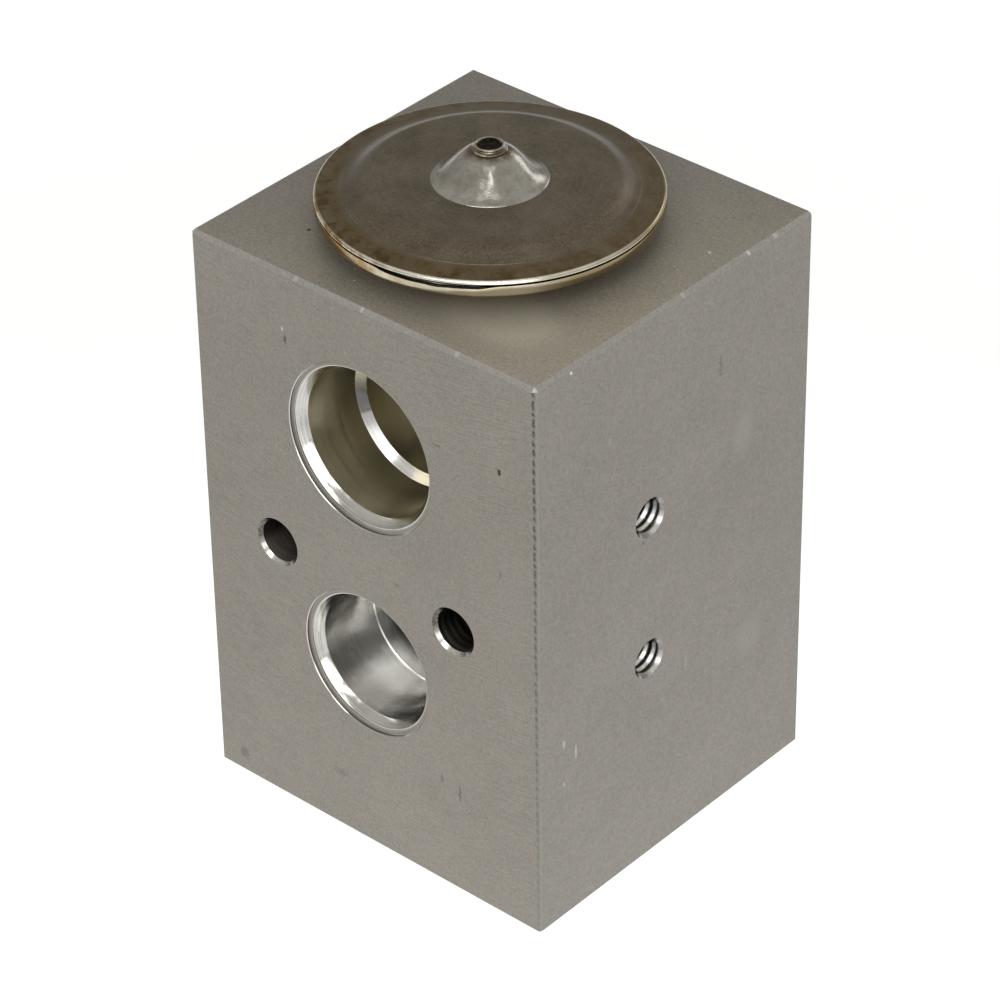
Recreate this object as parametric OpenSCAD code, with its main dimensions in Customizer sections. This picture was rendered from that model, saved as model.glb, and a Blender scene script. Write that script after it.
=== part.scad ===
// Block expansion valve for a refrigerant circuit: a machined block with a diaphragm head on top.
// Z is up and the origin is the middle of the block's bottom face. The two ports that face
// the evaporator open on -Y, the two that face the refrigerant lines open on +Y.

/* [Block] */
// Width of the block, along X
block_w = 51.8; // [48:0.1:64]
// Depth of the block, along Y
block_d = 48.6; // [46:0.1:64]
// Height of the block, along Z
block_h = 76.2; // [72:0.1:90]
// Width of the broken edges all round the block
edge_break = 0.5; // [0.2:0.1:1]
// Offset of the valve's vertical axis from the middle of the block, along X
axis_x = -0.5; // [-1.5:0.1:1.5]
// Offset of the valve's vertical axis from the middle of the block, along Y
axis_y = -1.4; // [-2:0.1:2]

/* [Suction ports] */
// Height of the upper passage, where the gas from the evaporator passes
suction_z = 57; // [56:0.1:58]
// Radius of the shallow spot face round an upper port
suction_spot_r = 10.8; // [10.5:0.1:11.2]
// Radius of the seal cone at its mouth
suction_cone_r = 10.2; // [9.9:0.05:10.3]
// Radius of the bore that takes the pipe end
suction_bore_r = 9.4; // [9:0.05:9.6]
// Radius of the passage behind the pipe end
suction_inner_r = 8.45; // [8.2:0.05:8.8]
// Depth of the bores that take the suction pipes
suction_bore_depth = 9.5; // [8.5:0.1:10.5]

/* [Outlet port] */
// Height of the lower evaporator port
outlet_z = 26.9; // [26:0.1:28]
// Radius of the shallow spot face round the outlet port
outlet_spot_r = 9.6; // [9.2:0.1:10]
// Radius of the seal cone at its mouth
outlet_cone_r = 8.9; // [8.6:0.05:9.1]
// Radius of the bore that takes the pipe end
outlet_bore_r = 8.2; // [8.1:0.05:8.4]
// Radius of the bore behind the pipe end
outlet_inner_r = 7.75; // [7.3:0.05:7.75]
// Depth of the bore that takes the outlet pipe
outlet_bore_depth = 9.9; // [8.5:0.1:10.5]
// Depth of the bore behind the pipe end, from the port face
outlet_depth = 13.5; // [12:0.1:14]
// Radius of the hole from the outlet bore to the valve axis
outlet_hole_r = 3.4; // [2.6:0.1:3.8]

/* [Inlet port] */
// Radius of the shallow spot face round the liquid inlet
inlet_spot_r = 8; // [7.6:0.1:8.4]
// Radius of the seal cone at its mouth
inlet_cone_r = 7.3; // [7:0.05:7.5]
// Radius of the bore that takes the pipe end
inlet_bore_r = 6.35; // [6.25:0.05:6.6]
// Radius of the bore behind the pipe end
inlet_inner_r = 5.9; // [5.4:0.05:5.9]
// Depth of the bore that takes the liquid pipe
inlet_bore_depth = 9.9; // [8.5:0.1:10.5]
// Depth of the bore behind the pipe end, from the line face
inlet_depth = 12; // [11:0.1:14]
// Radius of the hole from the inlet bore to the valve chamber
inlet_hole_r = 2.8; // [2:0.1:2.9]
// Height of the inlet below the valve seat
inlet_drop = 2.9; // [2.9:0.1:3.4]

/* [Port mouths] */
// Depth of the spot faces
spot_depth = 0.35; // [0.2:0.05:0.6]
// Depth at which a seal cone meets its bore
cone_depth = 1.65; // [1.2:0.05:2]
// Angle of the shoulders behind the pipe ends to the bore's axis
shoulder_angle = 45; // [30:1:60]

/* [Bolt holes] */
// Distance between the two holes that go through the block, along X
bolt_spacing = 27.4; // [26:0.1:32]
// Height of the through holes
bolt_z = 38; // [37.5:0.1:39.5]
// Radius of the through holes
bolt_hole_r = 2.75; // [2.5:0.05:2.9]
// Width of their countersinks
bolt_sink = 0.42; // [0.2:0.02:0.6]

/* [Side holes] */
// Distance of the two side holes from the port face
side_hole_y = 19.6; // [17:0.1:26]
// Height of the lower side hole
side_hole_z = 29.2; // [28:0.1:30]
// Distance between the side holes, along Z
side_hole_spacing = 19.9; // [19:0.1:21]
// Radius of the side holes over their thread
side_hole_r = 2.41; // [2.2:0.01:2.5]
// Depth of the side holes
side_hole_depth = 11; // [9:0.5:13]
// Width of their countersinks
side_sink = 0.3; // [0.2:0.02:0.5]

/* [Line stud hole] */
// Radius over the thread of the hole for the line block's stud
stud_hole_r = 4; // [3:0.1:4.2]
// Depth of that hole
stud_hole_depth = 14; // [11:0.5:15]
// Width of its countersink
stud_sink = 0.5; // [0.3:0.1:0.7]

/* [Diaphragm head] */
// Radius of the rim where the two caps are joined
rim_r = 20; // [19:0.1:21]
// Space between the block and the rim
rim_gap = 2.8; // [2.6:0.1:3.6]
// Thickness of the sheet of both caps
cap_t = 0.86; // [0.7:0.02:1]
// Radius of the crease where the rim flange meets the dome
crease_r = 17.1; // [16.6:0.1:17.4]
// Rise of the flange from the rim to the crease
crease_rise = 0.3; // [0.1:0.05:0.5]
// Radius of the flat middle of the upper cap
dome_r = 14.2; // [12:0.1:15]
// Rise of the dome from the crease to the flat middle
dome_rise = 1.15; // [0.8:0.05:2]
// Thickness of the diaphragm
diaphragm_t = 0.14; // [0.1:0.01:0.2]
// Height of the diaphragm's corrugations
wave_h = 0.2; // [0.05:0.05:0.35]
// Radius of the lower cap's flat base
base_r = 14.6; // [14.2:0.1:15]
// Height of that base above the block
base_standoff = 0.1; // [0.05:0.05:0.2]

/* [Charge seal] */
// Radius of the charging stub's stem
stub_r = 1.3; // [1:0.05:1.35]
// Radius of the lip at the cut end of the stub
lip_r = 1.75; // [1.7:0.05:1.9]
// Radius of the plug inside the lip
plug_r = 1.4; // [1.3:0.05:1.5]
// Radius of the stub's collar
collar_r = 2.1; // [2.05:0.05:2.4]
// Radius of the solder cone at its base
solder_r = 6.7; // [5:0.1:8]
// Height of the solder cone
solder_h = 3.6; // [2.6:0.1:4.2]
// Height of the stub above the solder cone
stub_rise = 0.7; // [0.7:0.05:1]

/* [Head mounting] */
// Wall of the neck, from its bore to its thread in the block
neck_wall = 3; // [2.6:0.1:3.4]
// Length of the neck below the block's top
neck_len = 6.9; // [6:0.1:7]
// Thickness of the seal ring under the head
head_ring_d = 1.8; // [1.6:0.05:2]
// Radius of the hole between the head and the upper passage
rod_hole_r = 6.5; // [5:0.1:7]

/* [Valve train] */
// Travel of the valve from closed to fully open
stroke = 0.8; // [0.4:0.05:0.9]
// Radius of the pad under the diaphragm
pad_r = 9.6; // [9:0.1:11]
// Radius of the pad's hub
hub_r = 4.5; // [4:0.1:5]
// Length of the hub below the block's top
hub_len = 1; // [0.5:0.1:3]
// Radius of the sensing rod
sensing_r = 3.2; // [2.8:0.1:3.8]
// Radius of the push rod
push_r = 1.2; // [0.9:0.05:1.25]
// Depth of the push rod in the sensing rod
push_depth = 4; // [3:0.5:8]
// Thickness of the seal ring round the push rod
rod_ring_d = 1.6; // [1.4:0.05:1.7]
// Depth of the seal's pocket below the upper passage
rod_gland_depth = 3.5; // [3.3:0.1:4]

/* [Seat and ball] */
// Distance of the valve seat below the outlet port's axis
seat_drop = 6.5; // [6.4:0.1:7]
// Radius of the ball
ball_r = 2.5; // [2.4:0.05:2.7]
// Radius of the orifice
orifice_r = 1.75; // [1.7:0.05:1.8]
// Radius of the seat insert
seat_r = 4.2; // [3.8:0.1:4.6]
// Height of the seat insert
seat_h = 3.9; // [3.4:0.1:4.4]

/* [Chamber and carrier] */
// Radius of the valve chamber
chamber_r = 6; // [5.8:0.1:6.2]
// Radius of the carrier's flange
carrier_r = 4.6; // [4.4:0.1:5]
// Thickness of the carrier's flange
carrier_flange = 1; // [0.8:0.1:1.2]
// Radius of the carrier's cup under the ball
carrier_cup_r = 3.3; // [3.1:0.1:3.6]
// Number of legs of the damping spring
leg_count = 4; // [3:1:6]
// Width of one leg
leg_w = 1.9; // [1:0.1:2.4]
// Thickness of the damping spring's sheet
leg_t = 0.25; // [0.2:0.05:0.3]
// Height of the legs
leg_h = 2.4; // [1.5:0.1:2.6]

/* [Superheat spring] */
// Radius of the spring's wire
wire_r = 0.5; // [0.4:0.05:0.5]
// Radius of the spring's coils, to the middle of the wire
coil_r = 3.3; // [3.2:0.05:3.4]
// Turns of the spring between its two closed ends
open_turns = 3.5; // [3:0.5:4]

/* [Adjusting screw] */
// Radius of the screw's thread
screw_r = 7.5; // [7.2:0.1:7.8]
// Pitch of the screw's thread
screw_pitch = 1; // [0.75:0.25:1.25]
// Distance of the screw's end inside the bottom face
screw_recess = 1.6; // [1.6:0.1:2]
// Length of the screw's thread
screw_thread_len = 4; // [3.6:0.1:4.4]
// Radius of the bore that its seal ring runs in
seal_bore_r = 6.65; // [6.6:0.05:6.9]
// Thickness of its seal ring
screw_ring_d = 1.5; // [1.3:0.05:1.6]
// Distance across the flats of the hexagon socket
hex_af = 6; // [5.8:0.1:6.2]
// Depth of the hexagon socket
hex_depth = 4; // [3.6:0.1:4.2]
// Web between the hexagon socket and the spring's cup
screw_web = 1; // [0.8:0.1:1.4]
// Height of the screw's plain end above its seal ring
screw_land = 1.1; // [0.8:0.1:1.4]

/* [Clearances] */
// Radial clearance of parts that run in a bore
run_gap = 0.05; // [0.03:0.01:0.08]
// Clearance of parts that are pressed or joined together
fit_gap = 0.02; // [0.01:0.01:0.04]

/* [Hidden] */

// Facets of round shapes, and of the spring's wire and coils
round_fn = 96;
wire_sides = 8;
turn_steps = 20;
// Overshoot of a cut beyond the face that it opens
past = 1;
// Half the point angle of a twist drill
drill_half_angle = 59;

// Heights of the head's parts
flange_z = block_h + rim_gap;
seam_z = flange_z + cap_t;
upper_flange_z = seam_z + diaphragm_t;
rim_top_z = upper_flange_z + cap_t;
crease_z = rim_top_z + crease_rise;
plateau_z = crease_z + dome_rise;
base_z = block_h + base_standoff;
base_floor_z = base_z + cap_t;
// Seal under the head: a ring in a pocket round the neck that the lower cap's base closes
head_ring_r = head_ring_d / 2;
head_ring_room = 0.4;
head_gland_depth = head_ring_d - base_standoff;
head_gland_cover = 1;
head_gland_r = base_r - head_gland_cover;
head_ring_mid_r = head_gland_r - head_ring_room - head_ring_r;
// Neck of the head, its bore in the block and the hole in the lower cap that its spigot fills
neck_r = head_ring_mid_r - head_ring_r - head_ring_room;
neck_bore_r = neck_r - neck_wall;
neck_foot_room = 0.6;
neck_wall_in_cap = 0.6;
neck_foot_z = block_h - neck_len;
neck_bore_foot_z = neck_foot_z - neck_foot_room;
cap_hole_r = neck_bore_r + neck_wall_in_cap;
neck_out_r = neck_r - run_gap;
// Bend radii and small steps of the caps
rim_round = 0.35;
seam_break = 0.2;
crease_step = 0.06;
flange_grip = 0.6;
dish_wall = 2;
dome_steps = 8;

// Valve train at rest, with the ball on its seat
seat_z = outlet_z - seat_drop;
inlet_z = seat_z - inlet_drop;
// The ball's middle, where its surface lies run_gap from a seat cone of 45 degrees
seat_chamfer = 1;
ball_z = seat_z + seat_chamfer + orifice_r - sqrt(2) * (ball_r + run_gap);
pad_top_z = seam_z - run_gap;
pad_stop_z = base_floor_z + run_gap + stroke;
hub_foot_z = block_h - hub_len;
passage_floor_z = suction_z - suction_inner_r;
rod_gland_z = passage_floor_z - rod_gland_depth;
rod_ring_r = rod_ring_d / 2;
rod_ring_mid_r = push_r + run_gap + rod_ring_r;
rod_gland_r = rod_ring_mid_r + rod_ring_r + run_gap;
rod_lift = 1.45;
sensing_foot_z = passage_floor_z + rod_lift;
spigot_r = 2;
spigot_len = 2.8;
push_foot_z = ball_z + ball_r + fit_gap;
push_top_z = sensing_foot_z + push_depth;

// Carrier under the ball: its cone of 45 degrees lies fit_gap from the ball
cup_below_ball = 1;
spring_play = 0.2;
cup_apex_z = ball_z - sqrt(2) * (ball_r + fit_gap);
cup_top_z = ball_z - cup_below_ball;
carrier_z = cup_apex_z - carrier_flange;
carrier_spigot_r = coil_r - wire_r - spring_play;
carrier_spigot_len = 2;

// Adjusting screw
screw_z = screw_recess;
thread_top_z = screw_z + screw_thread_len;
screw_body_r = seal_bore_r - run_gap;
screw_ring_r = screw_ring_d / 2;
screw_ring_mid_r = seal_bore_r - run_gap - screw_ring_r;
groove_r = screw_ring_mid_r - screw_ring_r - run_gap;
groove_w = screw_ring_d + 2 * run_gap;
screw_travel = screw_pitch;
end_room = 0.2;
seal_bore_z = thread_top_z + screw_travel + end_room;
groove_z = seal_bore_z + screw_travel + end_room;
screw_top_z = groove_z + groove_w + screw_land;
chamber_z = screw_top_z + screw_travel + end_room;
hex_top_z = screw_z + hex_depth;
cup_floor_z = hex_top_z + screw_web;
cup_r = coil_r + wire_r + spring_play;
// Top of the seat insert and of the vertical bore above it
seat_top_z = seat_z + seat_h;
outlet_bore_top_z = outlet_z + outlet_hole_r;

function ease(t) = t * t * (3 - 2 * t);
function drill_tip(r) = r / tan(drill_half_angle);
// Points of a quarter turn or less round (r, z), from angle a to angle b
function arc(r, z, radius, a, b, steps = 6) =
    [for (i = [0:steps]) let (t = a + (b - a) * i / steps) [r + radius * cos(t), z + radius * sin(t)]];

// Turns an outline of (radius, height) points about the Z axis
module turned(points) {
    rotate_extrude($fn = round_fn) polygon(points);
}

module on_valve_axis() {
    translate([axis_x, axis_y, 0]) children();
}

// Places a cut that starts at z = 0 and runs along +Z on a face of the block
module into_port_face(x, z) {
    translate([x, -block_d / 2, z]) rotate([-90, 0, 0]) children();
}

module into_line_face(x, z) {
    translate([x, block_d / 2, z]) rotate([90, 0, 0]) children();
}

module into_side_face(y, z) {
    translate([block_w / 2, y, z]) rotate([0, -90, 0]) children();
}

module o_ring(mid_r, ring_r) {
    rotate_extrude($fn = round_fn) translate([mid_r, 0]) circle(r = ring_r, $fn = 32);
}

// Rectangle with its four corners cut off
module broken_rectangle(w, h, cut) {
    x = w / 2;
    y = h / 2;
    polygon([
        [x - cut, -y], [x, -y + cut], [x, y - cut], [x - cut, y],
        [-x + cut, y], [-x, y - cut], [-x, -y + cut], [-x + cut, -y]
    ]);
}

module blank() {
    intersection() {
        linear_extrude(block_h) broken_rectangle(block_w, block_d, edge_break);
        translate([0, block_d / 2, block_h / 2]) rotate([90, 0, 0])
            linear_extrude(block_d) broken_rectangle(block_w, block_h, edge_break);
        translate([-block_w / 2, 0, block_h / 2]) rotate([90, 0, 90])
            linear_extrude(block_w) broken_rectangle(block_d, block_h, edge_break);
    }
}

// Mouth of a port: spot face, small step, seal cone and the bore for the pipe end
module port_mouth(spot_r, cone_r, bore_r, bore_depth, inner_r) {
    step = 0.12;
    shoulder = (bore_r - inner_r) / tan(shoulder_angle);
    turned([
        [0, -past], [spot_r, -past], [spot_r, spot_depth], [cone_r + step, spot_depth],
        [cone_r + step, spot_depth + step], [cone_r, spot_depth + step], [bore_r, cone_depth],
        [bore_r, bore_depth], [inner_r, bore_depth + shoulder], [0, bore_depth + shoulder]
    ]);
}

module blind_hole(r, depth, sink) {
    turned([
        [0, -past], [r + sink + past, -past], [r, sink], [r, depth], [0, depth + drill_tip(r)]
    ]);
}

module suction_cut() {
    into_port_face(axis_x, suction_z)
        port_mouth(suction_spot_r, suction_cone_r, suction_bore_r, suction_bore_depth, suction_inner_r);
    into_line_face(axis_x, suction_z)
        port_mouth(suction_spot_r, suction_cone_r, suction_bore_r, suction_bore_depth, suction_inner_r);
    into_port_face(axis_x, suction_z) cylinder(r = suction_inner_r, h = block_d, $fn = round_fn);
}

module outlet_cut() {
    into_port_face(axis_x, outlet_z) {
        port_mouth(outlet_spot_r, outlet_cone_r, outlet_bore_r, outlet_bore_depth, outlet_inner_r);
        blind_hole(outlet_inner_r, outlet_depth, 0);
        cylinder(r = outlet_hole_r, h = block_d / 2 + axis_y, $fn = round_fn);
    }
}

module inlet_cut() {
    into_line_face(axis_x, inlet_z) {
        port_mouth(inlet_spot_r, inlet_cone_r, inlet_bore_r, inlet_bore_depth, inlet_inner_r);
        blind_hole(inlet_inner_r, inlet_depth, 0);
        cylinder(r = inlet_hole_r, h = block_d / 2 - axis_y, $fn = round_fn);
    }
}

// Bores along the valve axis, from the adjusting screw up to the seal of the push rod
module axis_cut() {
    on_valve_axis() {
        turned([
            [0, -past], [screw_r + edge_break + past, -past], [screw_r, edge_break],
            [screw_r, seal_bore_z], [seal_bore_r, seal_bore_z], [seal_bore_r, chamber_z],
            [chamber_r, chamber_z], [chamber_r, seat_z], [seat_r, seat_z],
            [seat_r, seat_top_z], [outlet_hole_r, seat_top_z], [outlet_hole_r, outlet_bore_top_z],
            [push_r + run_gap, outlet_bore_top_z + drill_tip(outlet_hole_r)],
            [push_r + run_gap, rod_gland_z], [rod_gland_r, rod_gland_z],
            [rod_gland_r, suction_z], [0, suction_z]
        ]);
    }
}

// Bores for the head, from the upper passage to the block's top
module head_cut() {
    on_valve_axis() {
        turned([
            [0, suction_z], [rod_hole_r, suction_z], [rod_hole_r, neck_bore_foot_z],
            [neck_r, neck_bore_foot_z], [neck_r, block_h - head_gland_depth],
            [head_gland_r, block_h - head_gland_depth], [head_gland_r, block_h + past],
            [0, block_h + past]
        ]);
    }
}

module bolt_cut() {
    for (side = [-1, 1]) {
        x = axis_x + side * bolt_spacing / 2;
        into_port_face(x, bolt_z) blind_hole(bolt_hole_r, block_d / 2, bolt_sink);
        into_line_face(x, bolt_z) blind_hole(bolt_hole_r, block_d / 2, bolt_sink);
    }
}

module side_cut() {
    for (i = [0, 1]) {
        into_side_face(side_hole_y - block_d / 2, side_hole_z + i * side_hole_spacing)
            blind_hole(side_hole_r, side_hole_depth, side_sink);
    }
}

module stud_cut() {
    into_line_face(axis_x, bolt_z) blind_hole(stud_hole_r, stud_hole_depth, stud_sink);
}

module valve_block() {
    color("darkgray") difference() {
        blank();
        suction_cut();
        outlet_cut();
        inlet_cut();
        axis_cut();
        head_cut();
        bolt_cut();
        side_cut();
        stud_cut();
    }
}

// Pressed upper cap: rim flange, crease, dome and a flat middle with the charging hole
module upper_cap() {
    dome = [for (i = [0:dome_steps]) let (t = i / dome_steps)
        [crease_r - crease_step + (dome_r - crease_r + crease_step) * t,
         crease_z + crease_step + (dome_rise - crease_step) * ease(t)]];
    under = [for (i = [dome_steps:-1:0]) [dome[i][0], dome[i][1] - cap_t]];
    color("dimgray") on_valve_axis() turned(concat(
        [[stub_r + fit_gap, plateau_z - cap_t]],
        under,
        [[crease_r + flange_grip, upper_flange_z], [rim_r - seam_break, upper_flange_z],
         [rim_r, upper_flange_z + seam_break]],
        arc(rim_r - rim_round, rim_top_z - rim_round, rim_round, 0, 90),
        [[crease_r, crease_z]],
        dome,
        [[stub_r + fit_gap, plateau_z]]
    ));
}

// Pressed lower cap: a dish that stands on the block, joined to the upper cap at the rim
module lower_cap() {
    color("tan") on_valve_axis() turned(concat(
        [[cap_hole_r + fit_gap, base_z], [base_r, base_z], [base_r + dish_wall, flange_z]],
        arc(rim_r - rim_round, flange_z + rim_round, rim_round, -90, 0),
        [[rim_r, seam_z - seam_break], [rim_r - seam_break, seam_z],
         [base_r + dish_wall - cap_t / 2, seam_z], [base_r - cap_t / 2, base_floor_z],
         [cap_hole_r + fit_gap, base_floor_z]]
    ));
}

// Threaded neck that screws into the block, with a spigot in the lower cap's hole
module threaded_neck() {
    relief = 0.4;
    color("silver") on_valve_axis() turned([
        [neck_bore_r, neck_foot_z], [neck_out_r - relief, neck_foot_z],
        [neck_out_r, neck_foot_z + relief], [neck_out_r, base_z], [cap_hole_r, base_z],
        [cap_hole_r, base_floor_z], [neck_bore_r, base_floor_z]
    ]);
}

// Thin sheet between the caps: flat over the pad, two waves outside it, flat in the rim
module diaphragm() {
    steps = 24;
    waves = 2;
    flat_past_pad = 0.4;
    wave_in = pad_r + flat_past_pad;
    wave_out = base_r + dish_wall - cap_t;
    wave = [for (i = [0:steps]) let (t = i / steps)
        [wave_in + (wave_out - wave_in) * t, seam_z + wave_h * (1 - cos(360 * waves * t)) / 2]];
    rim = rim_r - 2 * seam_break;
    color("gainsboro") on_valve_axis() turned(concat(
        [[0, seam_z]], wave, [[rim, seam_z], [rim, seam_z + diaphragm_t]],
        [for (i = [steps:-1:0]) [wave[i][0], wave[i][1] + diaphragm_t]],
        [[0, seam_z + diaphragm_t]]
    ));
}

// Pad under the diaphragm. It stops on the lower cap's floor when the valve is fully open
module diaphragm_pad() {
    edge = 0.3;
    color("darkkhaki") on_valve_axis() turned([
        [0, hub_foot_z + spigot_len + fit_gap], [spigot_r + fit_gap, hub_foot_z + spigot_len + fit_gap],
        [spigot_r + fit_gap, hub_foot_z], [hub_r - edge, hub_foot_z], [hub_r, hub_foot_z + edge],
        [hub_r, pad_stop_z], [pad_r, pad_stop_z], [pad_r, pad_top_z - edge],
        [pad_r - edge, pad_top_z], [0, pad_top_z]
    ]);
}

// Cut end of the charging tube: a stem through the cap, a collar on the solder and a lip round a plug
module charge_stub() {
    foot = 0.4;
    top_z = plateau_z + solder_h;
    end_z = top_z + stub_rise;
    collar_h = 0.3;
    plug_depth = 0.3;
    edge = 0.15;
    color("dimgray") on_valve_axis() turned([
        [0, plateau_z - cap_t - foot], [stub_r, plateau_z - cap_t - foot], [stub_r, top_z],
        [collar_r - edge, top_z], [collar_r, top_z + edge], [collar_r - edge, top_z + collar_h],
        [lip_r, top_z + collar_h], [lip_r, end_z - edge], [lip_r - edge, end_z],
        [plug_r, end_z], [plug_r, end_z - plug_depth], [0, end_z - plug_depth]
    ]);
}

// Bell-shaped fillet of solder that closes the charging hole round the stub
module solder_seal() {
    toe = 0.12;
    steps = 10;
    top_z = plateau_z + solder_h;
    bell = [for (i = [0:steps]) let (t = i / steps)
        [solder_r + (collar_r - solder_r) * t, plateau_z + toe + (solder_h - toe) * (t + ease(t)) / 2]];
    color("silver") on_valve_axis() turned(concat(
        [[stub_r + fit_gap, plateau_z], [solder_r + toe, plateau_z]],
        bell,
        [[stub_r + fit_gap, top_z]]
    ));
}

module head_o_ring() {
    color("black") translate([0, 0, base_z - head_ring_r]) on_valve_axis()
        o_ring(head_ring_mid_r, head_ring_r);
}

// Rod that feels the gas temperature in the upper passage and carries the pad's push
module sensing_rod() {
    edge = 0.4;
    pocket_r = push_r + fit_gap;
    pocket_z = push_top_z + fit_gap;
    color("silver") on_valve_axis() turned([
        [0, pocket_z], [pocket_r, pocket_z], [pocket_r, sensing_foot_z],
        [sensing_r - edge, sensing_foot_z], [sensing_r, sensing_foot_z + edge],
        [sensing_r, hub_foot_z - edge], [sensing_r - edge, hub_foot_z - fit_gap],
        [spigot_r, hub_foot_z - fit_gap], [spigot_r, hub_foot_z + spigot_len],
        [0, hub_foot_z + spigot_len]
    ]);
}

module push_rod() {
    edge = 0.2;
    color("gainsboro") on_valve_axis() turned([
        [0, push_foot_z], [push_r - edge, push_foot_z], [push_r, push_foot_z + edge],
        [push_r, push_top_z - edge], [push_r - edge, push_top_z], [0, push_top_z]
    ]);
}

module rod_o_ring() {
    color("black") translate([0, 0, rod_gland_z + rod_ring_r]) on_valve_axis()
        o_ring(rod_ring_mid_r, rod_ring_r);
}

// Pressed bush that holds the push rod's seal ring in its pocket
module rod_seal_retainer() {
    edge = 0.2;
    sunk = 0.3;
    bush_r = push_r + 3 * run_gap;
    foot_z = rod_gland_z + rod_ring_d + fit_gap;
    top_z = passage_floor_z - sunk;
    color("slategray") on_valve_axis() turned([
        [bush_r, foot_z], [rod_gland_r - fit_gap, foot_z],
        [rod_gland_r - fit_gap, top_z - edge], [rod_gland_r - fit_gap - edge, top_z],
        [bush_r, top_z]
    ]);
}

// Seat insert with the orifice and, below it, the cone that the ball closes
module valve_seat() {
    lead = 0.3;
    color("goldenrod") on_valve_axis() turned([
        [orifice_r + seat_chamfer, seat_z], [seat_r - fit_gap, seat_z],
        [seat_r - fit_gap, seat_top_z - lead], [seat_r - fit_gap - lead, seat_top_z],
        [orifice_r + lead, seat_top_z], [orifice_r, seat_top_z - lead],
        [orifice_r, seat_z + seat_chamfer]
    ]);
}

module valve_ball() {
    color("lightsteelblue") on_valve_axis() translate([0, 0, ball_z]) sphere(r = ball_r, $fn = round_fn);
}

// Carrier between the ball and the spring, with a cone for the ball and a spigot in the spring
module ball_carrier() {
    edge = 0.2;
    flat_r = 0.8;
    flat_z = cup_apex_z + flat_r;
    flange_top_z = carrier_z + carrier_flange;
    color("goldenrod") on_valve_axis() turned([
        [0, carrier_z - carrier_spigot_len], [carrier_spigot_r - edge, carrier_z - carrier_spigot_len],
        [carrier_spigot_r, carrier_z - carrier_spigot_len + edge], [carrier_spigot_r, carrier_z],
        [carrier_r - edge, carrier_z], [carrier_r, carrier_z + edge], [carrier_r, flange_top_z],
        [carrier_cup_r, flange_top_z], [carrier_cup_r, cup_top_z],
        [cup_top_z - cup_apex_z, cup_top_z], [flat_r, flat_z], [0, flat_z]
    ]);
}

// Spring washer round the carrier's cup, with legs that lean on the chamber wall
module damping_spring() {
    ring_z = carrier_z + carrier_flange;
    wall_r = chamber_r - run_gap;
    root_r = carrier_r - 2 * leg_t;
    first_leg_angle = 45;
    color("silver") on_valve_axis() translate([0, 0, ring_z]) {
        difference() {
            cylinder(r = carrier_r, h = leg_t, $fn = round_fn);
            translate([0, 0, -past])
                cylinder(r = carrier_cup_r + fit_gap, h = leg_t + 2 * past, $fn = round_fn);
        }
        intersection() {
            for (i = [0:leg_count - 1]) {
                rotate(i * 360 / leg_count + first_leg_angle)
                    rotate([90, 0, 0]) translate([0, 0, -leg_w / 2]) linear_extrude(leg_w)
                        polygon([
                            [root_r, 0], [carrier_r, 0], [wall_r, leg_h], [wall_r - leg_t, leg_h],
                            [carrier_r - leg_t / 2, leg_t], [root_r, leg_t]
                        ]);
            }
            cylinder(r = wall_r, h = leg_h, $fn = round_fn);
        }
    }
}

// Middle of the wire at turn n: a closed turn at each end, open turns between them
spring_foot_z = cup_floor_z + wire_r + fit_gap;
spring_top_z = carrier_z - wire_r - fit_gap;
closed_pitch = 2 * wire_r + fit_gap;
open_pitch = (spring_top_z - spring_foot_z - 2 * closed_pitch) / open_turns;
spring_turns = open_turns + 2;
function wire_z(n) =
    n < 1 ? spring_foot_z + n * closed_pitch :
    n < 1 + open_turns ? spring_foot_z + closed_pitch + (n - 1) * open_pitch :
    spring_top_z - (spring_turns - n) * closed_pitch;
function wire_point(n, a) =
    let (r = coil_r + wire_r * cos(a))
    [r * cos(360 * n), r * sin(360 * n), wire_z(n) + wire_r * sin(a)];

module superheat_spring() {
    rings = spring_turns * turn_steps;
    points = [for (i = [0:rings]) for (k = [0:wire_sides - 1])
        wire_point(i / turn_steps, 360 * k / wire_sides)];
    walls = [for (i = [0:rings - 1]) for (k = [0:wire_sides - 1])
        let (a = i * wire_sides + k, b = i * wire_sides + (k + 1) % wire_sides)
        [a, a + wire_sides, b + wire_sides, b]];
    first = [for (k = [0:wire_sides - 1]) k];
    last = [for (k = [wire_sides - 1:-1:0]) rings * wire_sides + k];
    color("silver") on_valve_axis() polyhedron(points, concat([first, last], walls), convexity = 8);
}

// Screw that sets the spring's load: thread, groove for its seal ring and a cup for the spring
module adjusting_screw() {
    edge = 0.4;
    thread_r = screw_r - run_gap;
    color("goldenrod") on_valve_axis() difference() {
        turned([
            [0, screw_z], [thread_r - edge, screw_z], [thread_r, screw_z + edge],
            [thread_r, thread_top_z - edge], [thread_r - edge, thread_top_z],
            [screw_body_r, thread_top_z], [screw_body_r, groove_z], [groove_r, groove_z],
            [groove_r, groove_z + groove_w], [screw_body_r, groove_z + groove_w],
            [screw_body_r, screw_top_z - edge], [screw_body_r - edge, screw_top_z],
            [cup_r, screw_top_z], [cup_r, cup_floor_z], [0, cup_floor_z]
        ]);
        translate([0, 0, screw_z - past])
            cylinder(r = hex_af / 2 / cos(30), h = hex_depth + past, $fn = 6);
    }
}

module adjuster_o_ring() {
    color("black") translate([0, 0, groove_z + groove_w / 2]) on_valve_axis()
        o_ring(screw_ring_mid_r, screw_ring_r);
}

valve_block();
upper_cap();
lower_cap();
threaded_neck();
diaphragm();
diaphragm_pad();
charge_stub();
solder_seal();
head_o_ring();
sensing_rod();
push_rod();
rod_o_ring();
rod_seal_retainer();
valve_seat();
valve_ball();
ball_carrier();
damping_spring();
superheat_spring();
adjusting_screw();
adjuster_o_ring();
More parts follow.
